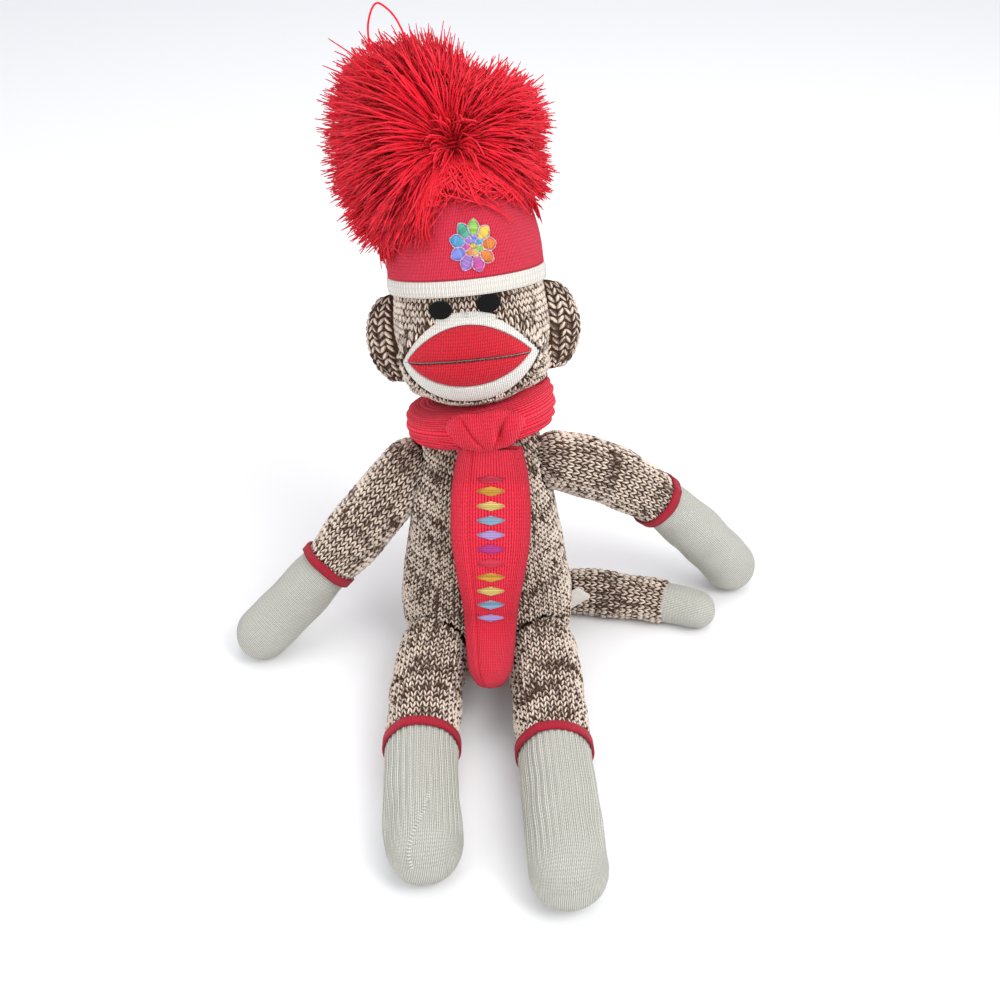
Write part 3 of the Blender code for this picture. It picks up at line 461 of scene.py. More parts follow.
def fine_knit(name, cloth, look, stitch=FINE_STITCH, plan=None, counts=None, crossed=False):
    """A skin whose small stitches its material draws: by their size, a plan of its places, or counts."""
    points, triangles, shares = cloth.mesh()
    if plan:
        knit = (plan(points) / array(stitch))[triangles]
    elif counts:
        knit = shares[..., ::-1 if crossed else 1] * array(counts)
    else:
        knit = shares * array((round(float(cloth.girths().max()) / stitch[0]), round(cloth.length() / stitch[1])))
    return piece(name, points, triangles, {"Knit": knit, "OFBake": shares * 0.98 + 0.01}, [look])


def marl_tones(u, v, columns, rows, seed):
    """How pale each leg of yarn is: streaks along the rows, as the marl's plies come up."""
    random = np.random.default_rng(seed)
    x, y = u * columns, v * rows
    streak = sum(sin(x * random.uniform(0.15, 0.55) + y * random.uniform(0.6, 2.4) * random.choice((-1, 1))
                     + random.uniform(0, 2 * pi)) for _ in range(6)) / 2.6
    bands = sin(y * 0.52 + 1.3 * sin(x * 0.09 + seed) + seed) * 0.5 + sin(y * 1.37 + seed) * 0.35
    return 0.56 + 0.06 * streak + 0.13 * bands + random.normal(0, 0.1, len(u))


def marl_knit(name, cloth, skip, seed, least=0.5):
    """A skin of marl yarn: real V stitches over a dark ground sheet that paints the shade between them."""
    sizes = bpy.context.scene.doll_sizes
    girths = cloth.girths()
    columns, rows = round(float(girths.max()) / sizes.stitch_width), round(cloth.length() / sizes.stitch_height)
    column, row = (grid.ravel() for grid in np.meshgrid(arange(columns), arange(rows)))
    random = np.random.default_rng(seed + 50)
    starts, ends = [], []
    for side in (-1, 1):
        wobble = random.normal(0, 0.03, (len(column), 2))
        for made, lean, climb in ((starts, 0.03, -0.1), (ends, 0.45, 1.1)):
            made.append(stack([column + 0.5 + side * lean, row + climb], axis=-1) + wobble)
    scale = array((columns, rows))
    starts, ends = concatenate(starts) / scale, concatenate(ends) / scale
    middle = (starts + ends) / 2
    local = interp(middle[:, 1], linspace(0, 1, len(girths)), girths) / columns
    keep = (local > least * sizes.stitch_width) & (starts[:, 1] > 0) & (ends[:, 1] < 1)
    keep &= ~skip(cloth.at(middle[:, 0], middle[:, 1])[0])
    starts, ends, middle, local = starts[keep], ends[keep], middle[keep], local[keep]
    outside = repeat((-1, 1), len(column))[keep]
    leaf_points = leaves(cloth, starts, ends, local * 0.2, sizes.relief)
    leaf_points[..., 2] = maximum(leaf_points[..., 2], FLOOR_GAP)
    leaf_triangles, leaf_places = leaf_mesh(leaf_points)
    tone = marl_tones(middle[:, 0], middle[:, 1], columns, rows, seed)
    slope = random.normal(0, 0.3, len(tone))
    plies = outside * random.choice((1, 1, 1, 1, -1), len(tone)) * random.uniform(0.3, 1.0, len(tone))
    tones = tone[:, None] + slope[:, None] * (LEAF_ALONG - 0.5) + plies[:, None] * (LEAF_ACROSS - 0.5)
    points, triangles, shares = cloth.moved(np.full(cloth.points.shape[:2], -0.0005)).mesh()
    bake = concatenate([shares * array((0.18, 0.96)) + array((0.01, 0.02)),
                        leaf_places * array((0.78, 0.98)) + array((0.21, 0.01))])
    return piece(name, concatenate([points, leaf_points.reshape(-1, 3)]),
                 concatenate([triangles, leaf_triangles + len(points)]),
                 {"Knit": concatenate([shares * scale, leaf_places]), "OFBake": bake},
                 [marl_ground("ragg_wool_ground"), marl_yarn("ragg_wool_yarn")],
                 repeat((0, 1), (len(triangles), len(leaf_triangles))),
                 {"tone": concatenate([np.zeros(len(points)), tones.ravel()])})


def strands(name, paths, radii, look, sides=3, twist=0.0, flat=1.0, values=None, dyes=None):
    """Yarn or thread along many paths; twist and flat shape its plies, dyes are linear colours."""
    count, steps = paths.shape[:2]
    along = unit(gradient(paths, axis=1))
    chords = unit(paths[:, -1] - paths[:, 0])
    across = unit(cross(along, where(abs(chords[:, 2:]) < 0.9, UP, LEFT)[:, None]))
    other = cross(along, across)
    turn = circle(sides) + twist * linspace(0, 1, steps)[None, :, None]
    reach = broadcast_to(radii, (count, steps))[..., None] * (1 - (1 - flat) * sin(circle(sides))**2)
    points = (paths[:, :, None] + across[:, :, None] * (reach * cos(turn))[..., None]
              + other[:, :, None] * (reach * sin(turn))[..., None])
    points = concatenate([paths[:, :1], points.reshape(count, -1, 3), paths[:, -1:]], axis=1)
    total = steps * sides + 2
    faces, spots = [], []
    for side in range(sides):
        after = (side + 1) % sides
        left, right = side / sides, (side + 1) / sides
        faces.append((0, 1 + after, 1 + side))
        spots.append(((left, 0), (right, 0), (left, 0)))
        for step in range(steps - 1):
            a, b = 1 + step * sides + side, 1 + step * sides + after
            low, high = step / (steps - 1), (step + 1) / (steps - 1)
            faces += [(a, b, b + sides), (a, b + sides, a + sides)]
            spots += [((left, low), (right, low), (right, high)), ((left, low), (right, high), (left, high))]
        end = 1 + (steps - 1) * sides
        faces.append((total - 1, end + side, end + after))
        spots.append(((left, 1), (left, 1), (right, 1)))
    cell, side = cells(count)
    places = (cell + 0.06 + 0.88 * array(spots, float)[None]) / side
    triangles = array(faces)[None] + total * arange(count)[:, None, None]
    # share runs along each strand; yarn_look paints shade at its start and light at its end by it.
    share = concatenate([[0], repeat(linspace(0, 1, steps), sides), [1]])
    kept = {"tone": repeat(np.zeros(count) if values is None else values, total), "share": np.tile(share, count)}
    if dyes is not None:
        kept["dye"] = repeat(concatenate([dyes, np.ones((count, 1))], axis=1), total, axis=0)
    return piece(name, points.reshape(-1, 3), triangles.reshape(-1, 3),
                 {"OFBake": places.reshape(-1, 3, 2)}, [look], values=kept)


# Materials

PLUS, MINUS, TIMES, TIMES_PLUS, POWER, SIZE, PART = ({"operation": name} for name in (
    "ADD", "SUBTRACT", "MULTIPLY", "MULTIPLY_ADD", "POWER", "ABSOLUTE", "FRACT"))


def node(tree, kind, settings, *inputs, **named):
    """Add a node with its settings and links and give its outputs; stops are the colours of a ramp."""
    made = tree.nodes.new("ShaderNode" + kind)
    for key, value in settings.items():
        if key != "stops":
            setattr(made, key, value)
            continue
        band = made.color_ramp.elements
        while len(band) < len(value):
            band.new(0.5)
        for element, (place, colour) in zip(band, value):
            element.position, element.color = place, (*colour, 1)
    for key, value in (*enumerate(inputs), *named.items()):
        if isinstance(value, bpy.types.NodeSocket):
            tree.links.new(value, made.inputs[key])
        else:
            made.inputs[key].default_value = value
    return made.outputs


def once(make):
    """Make a material the first time it is asked for, and find it by name after that."""
    return lambda name, *settings: bpy.data.materials.get(name) or make(name, *settings)


def bare_look(name, roughness, sheen=0.0, gloss=0.25):
    """A new material with its shader; dress gives it colour and relief."""
    made = bpy.data.materials.new(name)
    made.use_nodes = True
    shader = made.node_tree.nodes["Principled BSDF"]
    for key, value in (("Roughness", roughness), ("Sheen Weight", sheen), ("Sheen Roughness", 0.5),
                       ("Specular IOR Level", gloss)):
        shader.inputs[key].default_value = value
    return made, made.node_tree


def dress(made, colour, height, distance):
    """Link a colour and a height to a material's shader."""
    tree = made.node_tree
    shader = tree.nodes["Principled BSDF"]
    tree.links.new(colour, shader.inputs["Base Color"])
    tree.links.new(node(tree, "Bump", {}, Height=height, Distance=distance, Strength=1.0)[0],
                   shader.inputs["Normal"])
    return made


def tinted(colour, factor, lift=0.0):
    """A lighter or darker shade of a linear colour."""
    return [min(1, part * factor + lift) for part in colour]


def fuzz(tree, size):
    """Fine fibres, as a noise on the piece's own places; size in metres."""
    return node(tree, "TexNoise", {}, Vector=node(tree, "TexCoord", {})["Object"], Scale=1 / size, Detail=3.0,
                Roughness=0.6)["Fac"]


def knit_relief(tree):
    """Relief of stocking stitch from the Knit layer: two leaning legs in each column, broken into rows."""
    spot = node(tree, "SeparateXYZ", {}, node(tree, "UVMap", {"uv_map": "Knit"})["UV"])
    aside = node(tree, "Math", SIZE, node(tree, "Math", MINUS, node(tree, "Math", PART, spot["X"])[0], 0.5)[0])[0]
    across = node(tree, "Math", TIMES, node(tree, "Math", MINUS, aside, 0.25)[0], 4.0)[0]
    bulge = node(tree, "Math", POWER, node(tree, "Math", SIZE, across)[0], 2.0)[0]
    leg = node(tree, "Math", MINUS, 1.0, bulge)[0]
    shifted = node(tree, "Math", PART, node(tree, "Math", TIMES_PLUS, aside, -0.9, spot["Y"])[0])[0]
    along = node(tree, "Math", TIMES, node(tree, "Math", MINUS, shifted, 0.5)[0], 2.0)[0]
    pinch = node(tree, "Math", POWER, node(tree, "Math", SIZE, along)[0], 4.0)[0]
    return node(tree, "Math", TIMES, leg, node(tree, "Math", TIMES_PLUS, pinch, -0.6, 1.0)[0])[0]


@once
def knit_look(name, colour, depth=0.0005, shade=0.5, roughness=0.95, sheen=0.05):
    """A fine machine knit in one colour: soft, matt, with painted shade in the gaps between its stitches and painted
    light on their tops.
    """
    made, tree = bare_look(name, roughness, sheen)
    relief, speck = knit_relief(tree), fuzz(tree, 0.0012)
    tint = node(tree, "Math", TIMES_PLUS, relief, 0.75, node(tree, "Math", TIMES, speck, 0.35)[0])[0]
    # Painted light by relief: the dark stop is painted shade in the gaps, the light stop a painted highlight on the
    # stitch tops; shade sets how dark the gaps are.
    stops = [(0.12, tinted(colour, shade)), (0.55, colour), (0.95, tinted(colour, 1.2, 0.02))]
    return dress(made, node(tree, "ValToRGB", {"stops": stops}, tint)[0],
                 node(tree, "Math", TIMES_PLUS, speck, 0.3, relief)[0], depth)


@once
def marl_yarn(name):
    """Ragg wool: brown and pale plies twisted together, hairy and fully matt."""
    made, tree = bare_look(name, 0.95, 0.2)
    brown, pale = dye("marl_brown"), dye("marl_pale")
    mid = [0.62 * b + 0.38 * p for b, p in zip(brown, pale)]
    tone = node(tree, "Attribute", {"attribute_name": "tone"})["Fac"]
    speck = node(tree, "Math", MINUS, fuzz(tree, 0.0009), 0.5)[0]
    share = node(tree, "Math", TIMES_PLUS, speck, 0.5, tone)[0]
    stops = [(0.34, brown), (0.46, mid), (0.56, pale), (1.0, tinted(pale, 1.15))]
    return dress(made, node(tree, "ValToRGB", {"stops": stops}, share)[0], fuzz(tree, 0.0005), 0.0003)


@once
def marl_ground(name):
    """Painted shade in the depth between the marl stitches: the brown ply, mottled darker and lighter by noise."""
    made, tree = bare_look(name, 1.0)
    # The ground's dark brown is painted shade for the gaps behind the stitches.
    stops = [(0.3, tinted(dye("marl_brown"), 0.5)), (0.75, tinted(dye("marl_brown"), 1.4))]
    return dress(made, node(tree, "ValToRGB", {"stops": stops}, fuzz(tree, 0.002))[0], knit_relief(tree), 0.0004)


@once
def yarn_look(name, colour):
    """Acrylic yarn ends: a slight lustre on the plies, with painted shade towards the tie and painted light at the
    ends.
    """
    made, tree = bare_look(name, 0.95, 0.05, 0.12)
    tone, share = (node(tree, "Attribute", {"attribute_name": key})["Fac"] for key in ("tone", "share"))
    # share runs from 0 at the tie to 1 at the end: low values get painted shade, high ones painted light.
    tint = node(tree, "Math", TIMES_PLUS, share, 0.55, node(tree, "Math", TIMES_PLUS, tone, 0.3, 0.1)[0])[0]
    tint = node(tree, "Math", TIMES_PLUS, fuzz(tree, 0.0015), 0.2, tint)[0]
    stops = [(0.0, tinted(colour, 0.7)), (0.3, colour), (1.0, tinted(colour, 1.4, 0.03))]
    return dress(made, node(tree, "ValToRGB", {"stops": stops}, tint)[0], fuzz(tree, 0.0006), 0.0003)


@once
def speckled_look(name, colour, size, depth, roughness, sheen=0.0, spread=0.2):
    """A cloth or felt with fine fibres and slight changes of tone."""
    made, tree = bare_look(name, roughness, sheen)
    speck = fuzz(tree, size)
    stops = [(0.3, tinted(colour, 1 - spread)), (0.7, tinted(colour, 1 + spread))]
    return dress(made, node(tree, "ValToRGB", {"stops": stops}, speck)[0], speck, depth)


@once
def thread_look(name):
    """Rayon embroidery thread: bright, smooth and glossy along each stitch."""
    made, tree = bare_look(name, 0.38, 0.0, 0.5)
    return dress(made, node(tree, "Attribute", {"attribute_name": "dye"})["Color"], fuzz(tree, 0.0003), 0.0001)


def scarf_look():
    """Soft scarf knit, a little brighter and more open than the hat's."""
    return knit_look("scarf_acrylic_knit", dye("scarf_red"), 0.0009, 0.3, 0.95, 0.08)


# The doll's forms

def torso_middle(height):
    """Middles of the leaning torso at heights."""
    seat = SEAT_SHARE * TORSO_HEIGHT
    share = maximum(0, (np.asarray(height) - seat) / (TORSO_HEIGHT - seat))
    return stack([NECK[0] * share, NECK[1] * share**LEAN_POWER, np.asarray(height) + 0 * share], axis=-1)


def torso_sizes(height):
    """Half widths and half depths of the torso at heights."""
    share = np.asarray(height) / TORSO_HEIGHT
    return (through(share, TORSO_PLACES, TORSO_WIDTHS) * TORSO_HALF_WIDTH,
            through(share, TORSO_PLACES, TORSO_DEPTHS) * TORSO_HALF_DEPTH)


def inside_torso(points, margin=0.0):
    """Which points lie in the torso."""
    height = clip(points[..., 2], 0, TORSO_HEIGHT)
    off = points - torso_middle(height)
    width, depth = torso_sizes(height)
    return ((off[..., 0] / (width + margin))**2 + (off[..., 1] / (depth + margin))**2 < 1) & (
        points[..., 2] < TORSO_HEIGHT)


def press(points, normals, centre, radius):
    """Press a skin inwards round a ball that sits in it."""
    arms = points - centre
    dot, square = (arms * normals).sum(axis=-1), (arms**2).sum(axis=-1)
    reach = dot + sqrt(maximum(dot**2 - square + radius**2, 0))
    return where((square < radius**2)[..., None], points - normals * reach[..., None], points)


def head_radius(height):
    """Half width of the head at heights above the neck."""
    return through(np.asarray(height) / HEAD_HEIGHT, HEAD_PLACES, HEAD_WIDTHS) * HEAD_HALF_WIDTH


def face_front(across, height):
    """How far forward the plain head lies, as a local Y value."""
    return -HEAD_DEPTH_SHARE * chord(head_radius(height), across)


def muzzle_front(across, height, swell=0.0):
    """How far forward the muzzle's oval lies, as a local Y value."""
    left = 1 - (across / (MUZZLE_HALF[0] + swell))**2 - ((height - MUZZLE_MIDDLE[2]) / (MUZZLE_HALF[2] + swell))**2
    return MUZZLE_MIDDLE[1] - MUZZLE_HALF[1] * sqrt(maximum(left, 0))


def heel_height(across, height):
    """Half height of the cream heel patch: an almond with its points beside the mouth."""
    share = clip(abs(across) / MUZZLE_HALF[0], 0, 1)
    return MUZZLE_HALF[2] * (1 - share**2.3) * where(height < MUZZLE_MIDDLE[2], 0.86, 1)


def lip_arc(across):
    """Half height of the pointed oval of the lips."""
    radius = (LIPS_HALF_WIDTH**2 + LIPS_HALF_HEIGHT**2) / (2 * LIPS_HALF_HEIGHT)
    return chord(radius, across) - radius + LIPS_HALF_HEIGHT


def mouth_line(across):
    """The middle height of the lips, arched up a little where the muzzle is fullest."""
    return LIPS_HEIGHT + MOUTH_ARCH * (1 - (across / LIPS_HALF_WIDTH)**2)


def face_plan(points):
    """Across and up on the face, for knits whose columns run up the muzzle."""
    return to_head(points)[:, [0, 2]] + 1


def chin_room(across, forward):
    """How high the knot may stand under the chin when the head nods."""
    left = 1 - (across / 0.0409)**2 - ((-forward - 0.020) / 0.0454)**2
    chin = MUZZLE_MIDDLE[2] - 0.0284 * sqrt(maximum(left, 0))
    jaw = where(hypot(across, forward) < 0.041, 0.0108, 1)
    return minimum(chin, jaw) + 0.105 * minimum(forward, 0) - 0.0012


def hat_base():
    """Outer radius and height of the crown's lower edge."""
    return float(head_radius(BRIM_HEIGHT)) + 0.0003 + HAT_WALL, BRIM_HEIGHT + BRIM_WIDTH + 0.0003


def hat_radius(height):
    """Half width of the crown at heights above the neck."""
    radius, base = hat_base()
    return radius * through((height - base) / HAT_HEIGHT, HAT_PLACES, HAT_WIDTHS)


class Limb:
    """A stuffed tube from a round root, along a bowed line, to a round end."""

    def __init__(self, name, joint, end, bow, places, radii):
        self.name, self.joint, self.places, self.radii = name, joint, places, radii
        self.root, self.end, self.bow = pivot(joint), array(end, float), bow

    def point(self, share):
        """Places on the middle line."""
        share = np.asarray(share, float)[..., None]
        return self.root * (1 - share) + self.end * share + self.bow * (4 * share * (1 - share))

    def heading(self, share):
        """Directions of the middle line."""
        return unit(self.point(np.asarray(share) + 0.01) - self.point(np.asarray(share) - 0.01))

    def radius(self, share):
        """Radii along the middle line."""
        return through(share, self.places, self.radii)

    def plan(self, points, seam, stitch):
        """Along and across on a stuffed end, for knits that run straight over its round tip."""
        ahead = unit(self.end - self.point(seam))
        side = unit(cross(ahead, UP + 1.2 * FRONT))
        radius = float(self.radius(1))
        arms = points - self.end
        forward, high = arms @ ahead, arms @ cross(side, ahead)
        along = where(forward > 0, radius * arctan2(forward, maximum(abs(high), 0.25 * radius)), forward)
        across = radius * arctan2(arms @ side, hypot(high, maximum(forward, 0)))
        return stack([across, along], axis=-1) + 512 * array(stitch)

    def skin(self, start, stop, columns, rows=64):
        """The skin between two shares; past an end it takes in the whole round end."""
        low, high = max(start, 0), min(stop, 1)
        shares = linspace(low, high, rows)
        line = [self.point(shares), self.radius(shares), self.heading(shares)]
        turns = linspace(0, pi / 2, 14)[1:]
        for past, edge, way in ((start < 0, low, -1), (stop > 1, high, 1)):
            radius, ahead = float(self.radius(edge)), self.heading(edge)
            if past:
                caps, sizes = way * ahead * radius * sin(turns)[:, None], radius * cos(turns)
            else:
                caps = way * ahead * 0.0008 * array((1.0, 1.0, 0.5, 0.0))[:, None]
                sizes = radius * array((0.985, 0.9, 0.5, 0.0))
            ends = self.point(edge) + caps, sizes, broadcast_to(ahead, caps.shape)
            line = [concatenate([new[::-1], old] if way < 0 else [old, new]) for new, old in zip(ends, line)]
        middles, radii, heads = line
        side = unit(cross(heads, UP))
        return Cloth(rings(middles, side, cross(side, heads), radii, radii, columns)).even(rows + 16)

    def fitted(self, cloth):
        """Draw in what would lie in the torso anywhere along the limb's swing."""
        row = cloth.points.mean(axis=1, keepdims=True)
        points = cloth.points.copy()
        joint = JOINTS[self.joint]
        for _ in range(14):
            caught = np.zeros(points.shape[:2], bool)
            out = np.linalg.norm(points - self.root, axis=-1) > self.radius(0) + 0.0004
            for angle in linspace(*joint["range_deg"], 4):
                caught |= out & inside_torso(turned(points, self.root, joint["axis"], radians(angle)), 0.002)
            points = where(caught[..., None], row + (points - row) * 0.955, points)
        return Cloth(points)


def limbs():
    """The lines of the arms, the legs and the tail, by name."""
    made = [Limb("tail", "tail_swing", TAIL_SPOT, -FRONT * TAIL_BOW, TAIL_PLACES, TAIL_RADII)]
    for side in ("right", "left"):
        made.append(Limb(f"{side}_arm", f"{side}_shoulder_raise", HAND_SPOTS[side], UP * ARM_ARCHES[side],
                         ARM_PLACES, ARM_RADII))
        made.append(Limb(f"{side}_leg", f"{side}_hip_swing", FOOT_SPOTS[side], LEFT * LEG_BOWS[side],
                         (0, 0.12, 0.3, ANKLE_SHARES[side], 0.8, 1), LEG_RADII))
    return {limb.name: limb for limb in made}


# Torso, head and face

def make_torso():
    """The leaning body bag, pressed in where the limbs and the neck sit."""
    balls = [(limb.root, float(limb.radius(0))) for limb in limbs().values()] + [(NECK, NECK_RADIUS)]
    levels = concatenate([np.zeros(4), linspace(0, TORSO_HEIGHT, 84), np.full(4, TORSO_HEIGHT)])
    width, depth = torso_sizes(levels)
    share = concatenate([(0, 0.35, 0.65, 0.88), np.ones(84), (0.85, 0.6, 0.3, 0)])
    cloth = Cloth(rings(torso_middle(levels), LEFT, FRONT, width * share, depth * share, 168))
    puff = lumps(cloth.points, 0.034, 3) * 0.0008 + lumps(cloth.points, 0.016, 4) * 0.0003
    puff *= (clip(levels / 0.012, 0, 1) * clip((TORSO_HEIGHT - levels) / 0.02, 0, 1))[:, None]
    cloth = cloth.moved(puff)
    points, normals = cloth.points, cloth.normals()
    for centre, radius in balls:
        points = press(points, normals, centre, radius + SOCKET_GAP)

    def near_roots(points):
        return np.any([np.linalg.norm(points - centre, axis=-1) < radius + 2 * SOCKET_GAP
                       for centre, radius in balls], axis=0)
    made = marl_knit("torso_marl_skin", Cloth(points), near_roots, 11)
    settle(made, "torso", "ragg_marl_knit", "torso_skin", "torso_stuffing", fill=0.7)


def make_head():
    """The head's marl skin, as far up as the brim hides, and the wad in the neck."""
    turns = linspace(0, NECK_WRAP, 16)
    shares = linspace(JAW_SHARE, 1, 70)
    levels = concatenate([-NECK_RADIUS * cos(turns), shares * HEAD_HEIGHT])
    jaw = JAW * bell(shares, JAW_SHARE, 0.09)
    radii = concatenate([NECK_RADIUS * sin(turns), head_radius(shares * HEAD_HEIGHT) + jaw])
    local = Cloth(rings(levels[:, None] * UP, LEFT, FRONT, radii, radii * HEAD_DEPTH_SHARE, 150)).even(90)
    puff = lumps(local.points, 0.03, 8) * 0.0007 * clip(local.points[..., 2] / 0.02, 0, 1)
    spots = local.moved(puff).points.copy()
    across, height = spots[..., 0], spots[..., 2]
    rim = abs(height - MUZZLE_MIDDLE[2]) / maximum(heel_height(across, height), 1e-4)
    front = muzzle_front(across, height, MUZZLE_SWELL)
    out = minimum(spots[..., 1], front + 0.004 * clip((1 - rim) / 0.12, 0, 1))
    spots[..., 1] = where((spots[..., 1] < 0) & (front < MUZZLE_MIDDLE[1]), out, spots[..., 1])

    def hidden(points):
        spot = to_head(points)
        under = abs(spot[..., 2] - MUZZLE_MIDDLE[2]) < 0.97 * heel_height(spot[..., 0], spot[..., 2])
        return (spot[..., 2] > BRIM_HEIGHT + BRIM_WIDTH) | under & (spot[..., 1] < 0)
    made = marl_knit("head_marl_skin", Cloth(from_head(spots)), hidden, 23, 0.3)
    settle(made, "head", "ragg_marl_knit", "head_skin", "head_stuffing", fill=0.8)
    wad = Cloth(egg(NECK, UP, WAD_RADIUS, FRONT, WAD_RADIUS, WAD_RADIUS, 26, 40))
    made = fine_knit("neck_fibre_wad", wad.moved(lumps(wad.points, 0.006, 5) * 0.0004 - 0.0004),
                     speckled_look("polyester_fibrefill", dye("white"), 0.002, 0.0006, 1.0, 0.3))
    settle(made, "neck", "polyester_filling", "neck_stuffing", fill=0.9)


def make_muzzle():
    """The cream heel patch, pressed in behind the lips."""
    points = Cloth(egg(MUZZLE_MIDDLE, FRONT, MUZZLE_HALF[1], UP, MUZZLE_HALF[0], MUZZLE_HALF[2], 90, 150)).points.copy()
    turns = linspace(0, pi, 90)[:, None]
    share = clip(abs(points[..., 0]) / MUZZLE_HALF[0], 0, 0.999)
    above = points[..., 2] - MUZZLE_MIDDLE[2]
    points[..., 2] -= above * (1 - heel_height(points[..., 0], points[..., 2]) / MUZZLE_HALF[2] / sqrt(1 - share**2))
    across, height = points[..., 0], points[..., 2]
    tuck = 0.003 * clip((sin(turns) - 0.94) / 0.06, 0, 1)**2
    points[..., 1] = where(turns > pi / 2, muzzle_front(across, height) + tuck, points[..., 1])
    points[..., 1] = minimum(points[..., 1], face_front(across, height) - 0.0011)
    depth = lip_arc(across) + 0.0006 - abs(height - mouth_line(across))
    points[..., 1] += clip(depth / 0.001, 0, 1) * 0.0022 * (points[..., 1] < MUZZLE_MIDDLE[1])
    made = fine_knit("muzzle_cream_pad", Cloth(from_head(points)),
                     knit_look("cream_heel_knit", dye("cream"), 0.0004, 0.62), RIM_STITCH, face_plan)
    settle(made, "head", "cream_knit", "muzzle_cream", "muzzle_stuffing", fill=0.8)


def make_lips():
    """The two red lips and the black stitches between them."""
    across = sin(linspace(-pi / 2, pi / 2, 72)) * LIPS_HALF_WIDTH * 0.985
    edge = lip_arc(across) - 0.0002
    front_shares, back_shares = linspace(0, 1, 22), linspace(1, 0, 8)[1:-1]
    share = concatenate([front_shares, back_shares])
    plump = concatenate([sin(pi * front_shares)**0.5, np.zeros(len(back_shares)) - 0.4])
    for name, way in (("upper_lip", 1), ("lower_lip", -1)):
        seam = 0.0004 - way * MOUTH_DROP
        rise = way * (seam + (maximum(edge, 0.0006) - seam)[:, None] * share)
        grid = across[:, None] + 0 * share
        height = mouth_line(grid) + rise
        front = muzzle_front(grid, height) + 0.0012 - 0.0026 * plump * clip(edge / 0.006, 0.1, 1)[:, None]
        points = stack([grid, front, height], axis=-1)
        points[0], points[-1] = points[0].mean(axis=0), points[-1].mean(axis=0)
        made = fine_knit(f"{name}_pad", Cloth(from_head(points)),
                         knit_look("red_heel_knit", dye("lips_red"), 0.0008, 0.25), FINE_STITCH, face_plan)
        settle(made, "head", "red_knit", name, fill=0.8)
    stitches = linspace(-LIPS_HALF_WIDTH - 0.002, LIPS_HALF_WIDTH - 0.001, 30)
    starts, ends = stitches[:-1], stitches[:-1] + 1.03 * np.diff(stitches)
    share = linspace(0, 1, 6)
    across = starts[:, None] * (1 - share) + ends[:, None] * share
    height = mouth_line(across) - MOUTH_DROP
    front = muzzle_front(across, height) + 0.0006 - 0.0004 * sin(pi * share)
    made = strands("mouth_stitches", from_head(stack([across, front, height], axis=-1)),
                   array((0.00012, 0.0002, 0.00022, 0.00022, 0.0002, 0.00012)),
                   speckled_look("black_cotton_thread", dye("felt"), 0.0008, 0.0001, 0.7), 5)
    settle(made, "head", "black_thread", "mouth_thread")


def make_eyes():
    """Round black felt eyes with soft edges, lying on the face."""
    look = speckled_look("black_wool_felt", dye("felt"), 0.0007, 0.0003, 0.95, 0.04, 0.5)
    edge = linspace(0.2, pi / 2, 5)
    shares = concatenate([linspace(0, 0.9, 12), 0.9 + 0.1 * sin(edge), (0.98, 0.7, 0.3, 0)])[:, None]
    swell = concatenate([linspace(1, 0.86, 12), 0.86 * cos(edge), np.full(4, -0.6)])[:, None]
    for side, name in ((-1, "right"), (1, "left")):
        across = side * EYE_SPACING + shares * EYE_HALF_WIDTH * cos(circle(48))
        height = EYE_HEIGHTS[name] + shares * EYE_HALF_HEIGHT * sin(circle(48))
        front = face_front(across, height) - 0.0008 - swell * EYE_THICKNESS
        eye = fine_knit(f"{name}_felt_eye", Cloth(from_head(stack([across, front, height], axis=-1))), look)
        settle(eye, "head", "black_felt", f"{name}_eye")


def make_ears():
    """Flat padded ears of marl knit, sewn to the sides of the head."""
    for side, name in ((-1, "right"), (1, "left")):
        local = egg(to_head(pivot(f"{name}_ear_flap")), UP, EAR_HALF_HEIGHT, FRONT, EAR_REACH,
                    EAR_HALF_THICKNESS, 48, 72, 0.6)
        flank = chord(head_radius(local[..., 2]), local[..., 1] / HEAD_DEPTH_SHARE) + SOCKET_GAP
        local[..., 0] = side * maximum(side * local[..., 0], flank)
        local[0], local[-1] = local[0].mean(axis=0), local[-1].mean(axis=0)

        def sewn(points, side=side):
            spot = to_head(points)
            return side * spot[..., 0] < chord(head_radius(spot[..., 2]), spot[..., 1]) + 0.0018
        made = marl_knit(f"{name}_ear_pad", Cloth(from_head(local)).even(60), sewn, 31 + side, 0.3)
        settle(made, f"{name}_ear", "ragg_marl_knit", f"{name}_ear", fill=0.4)


# Hat

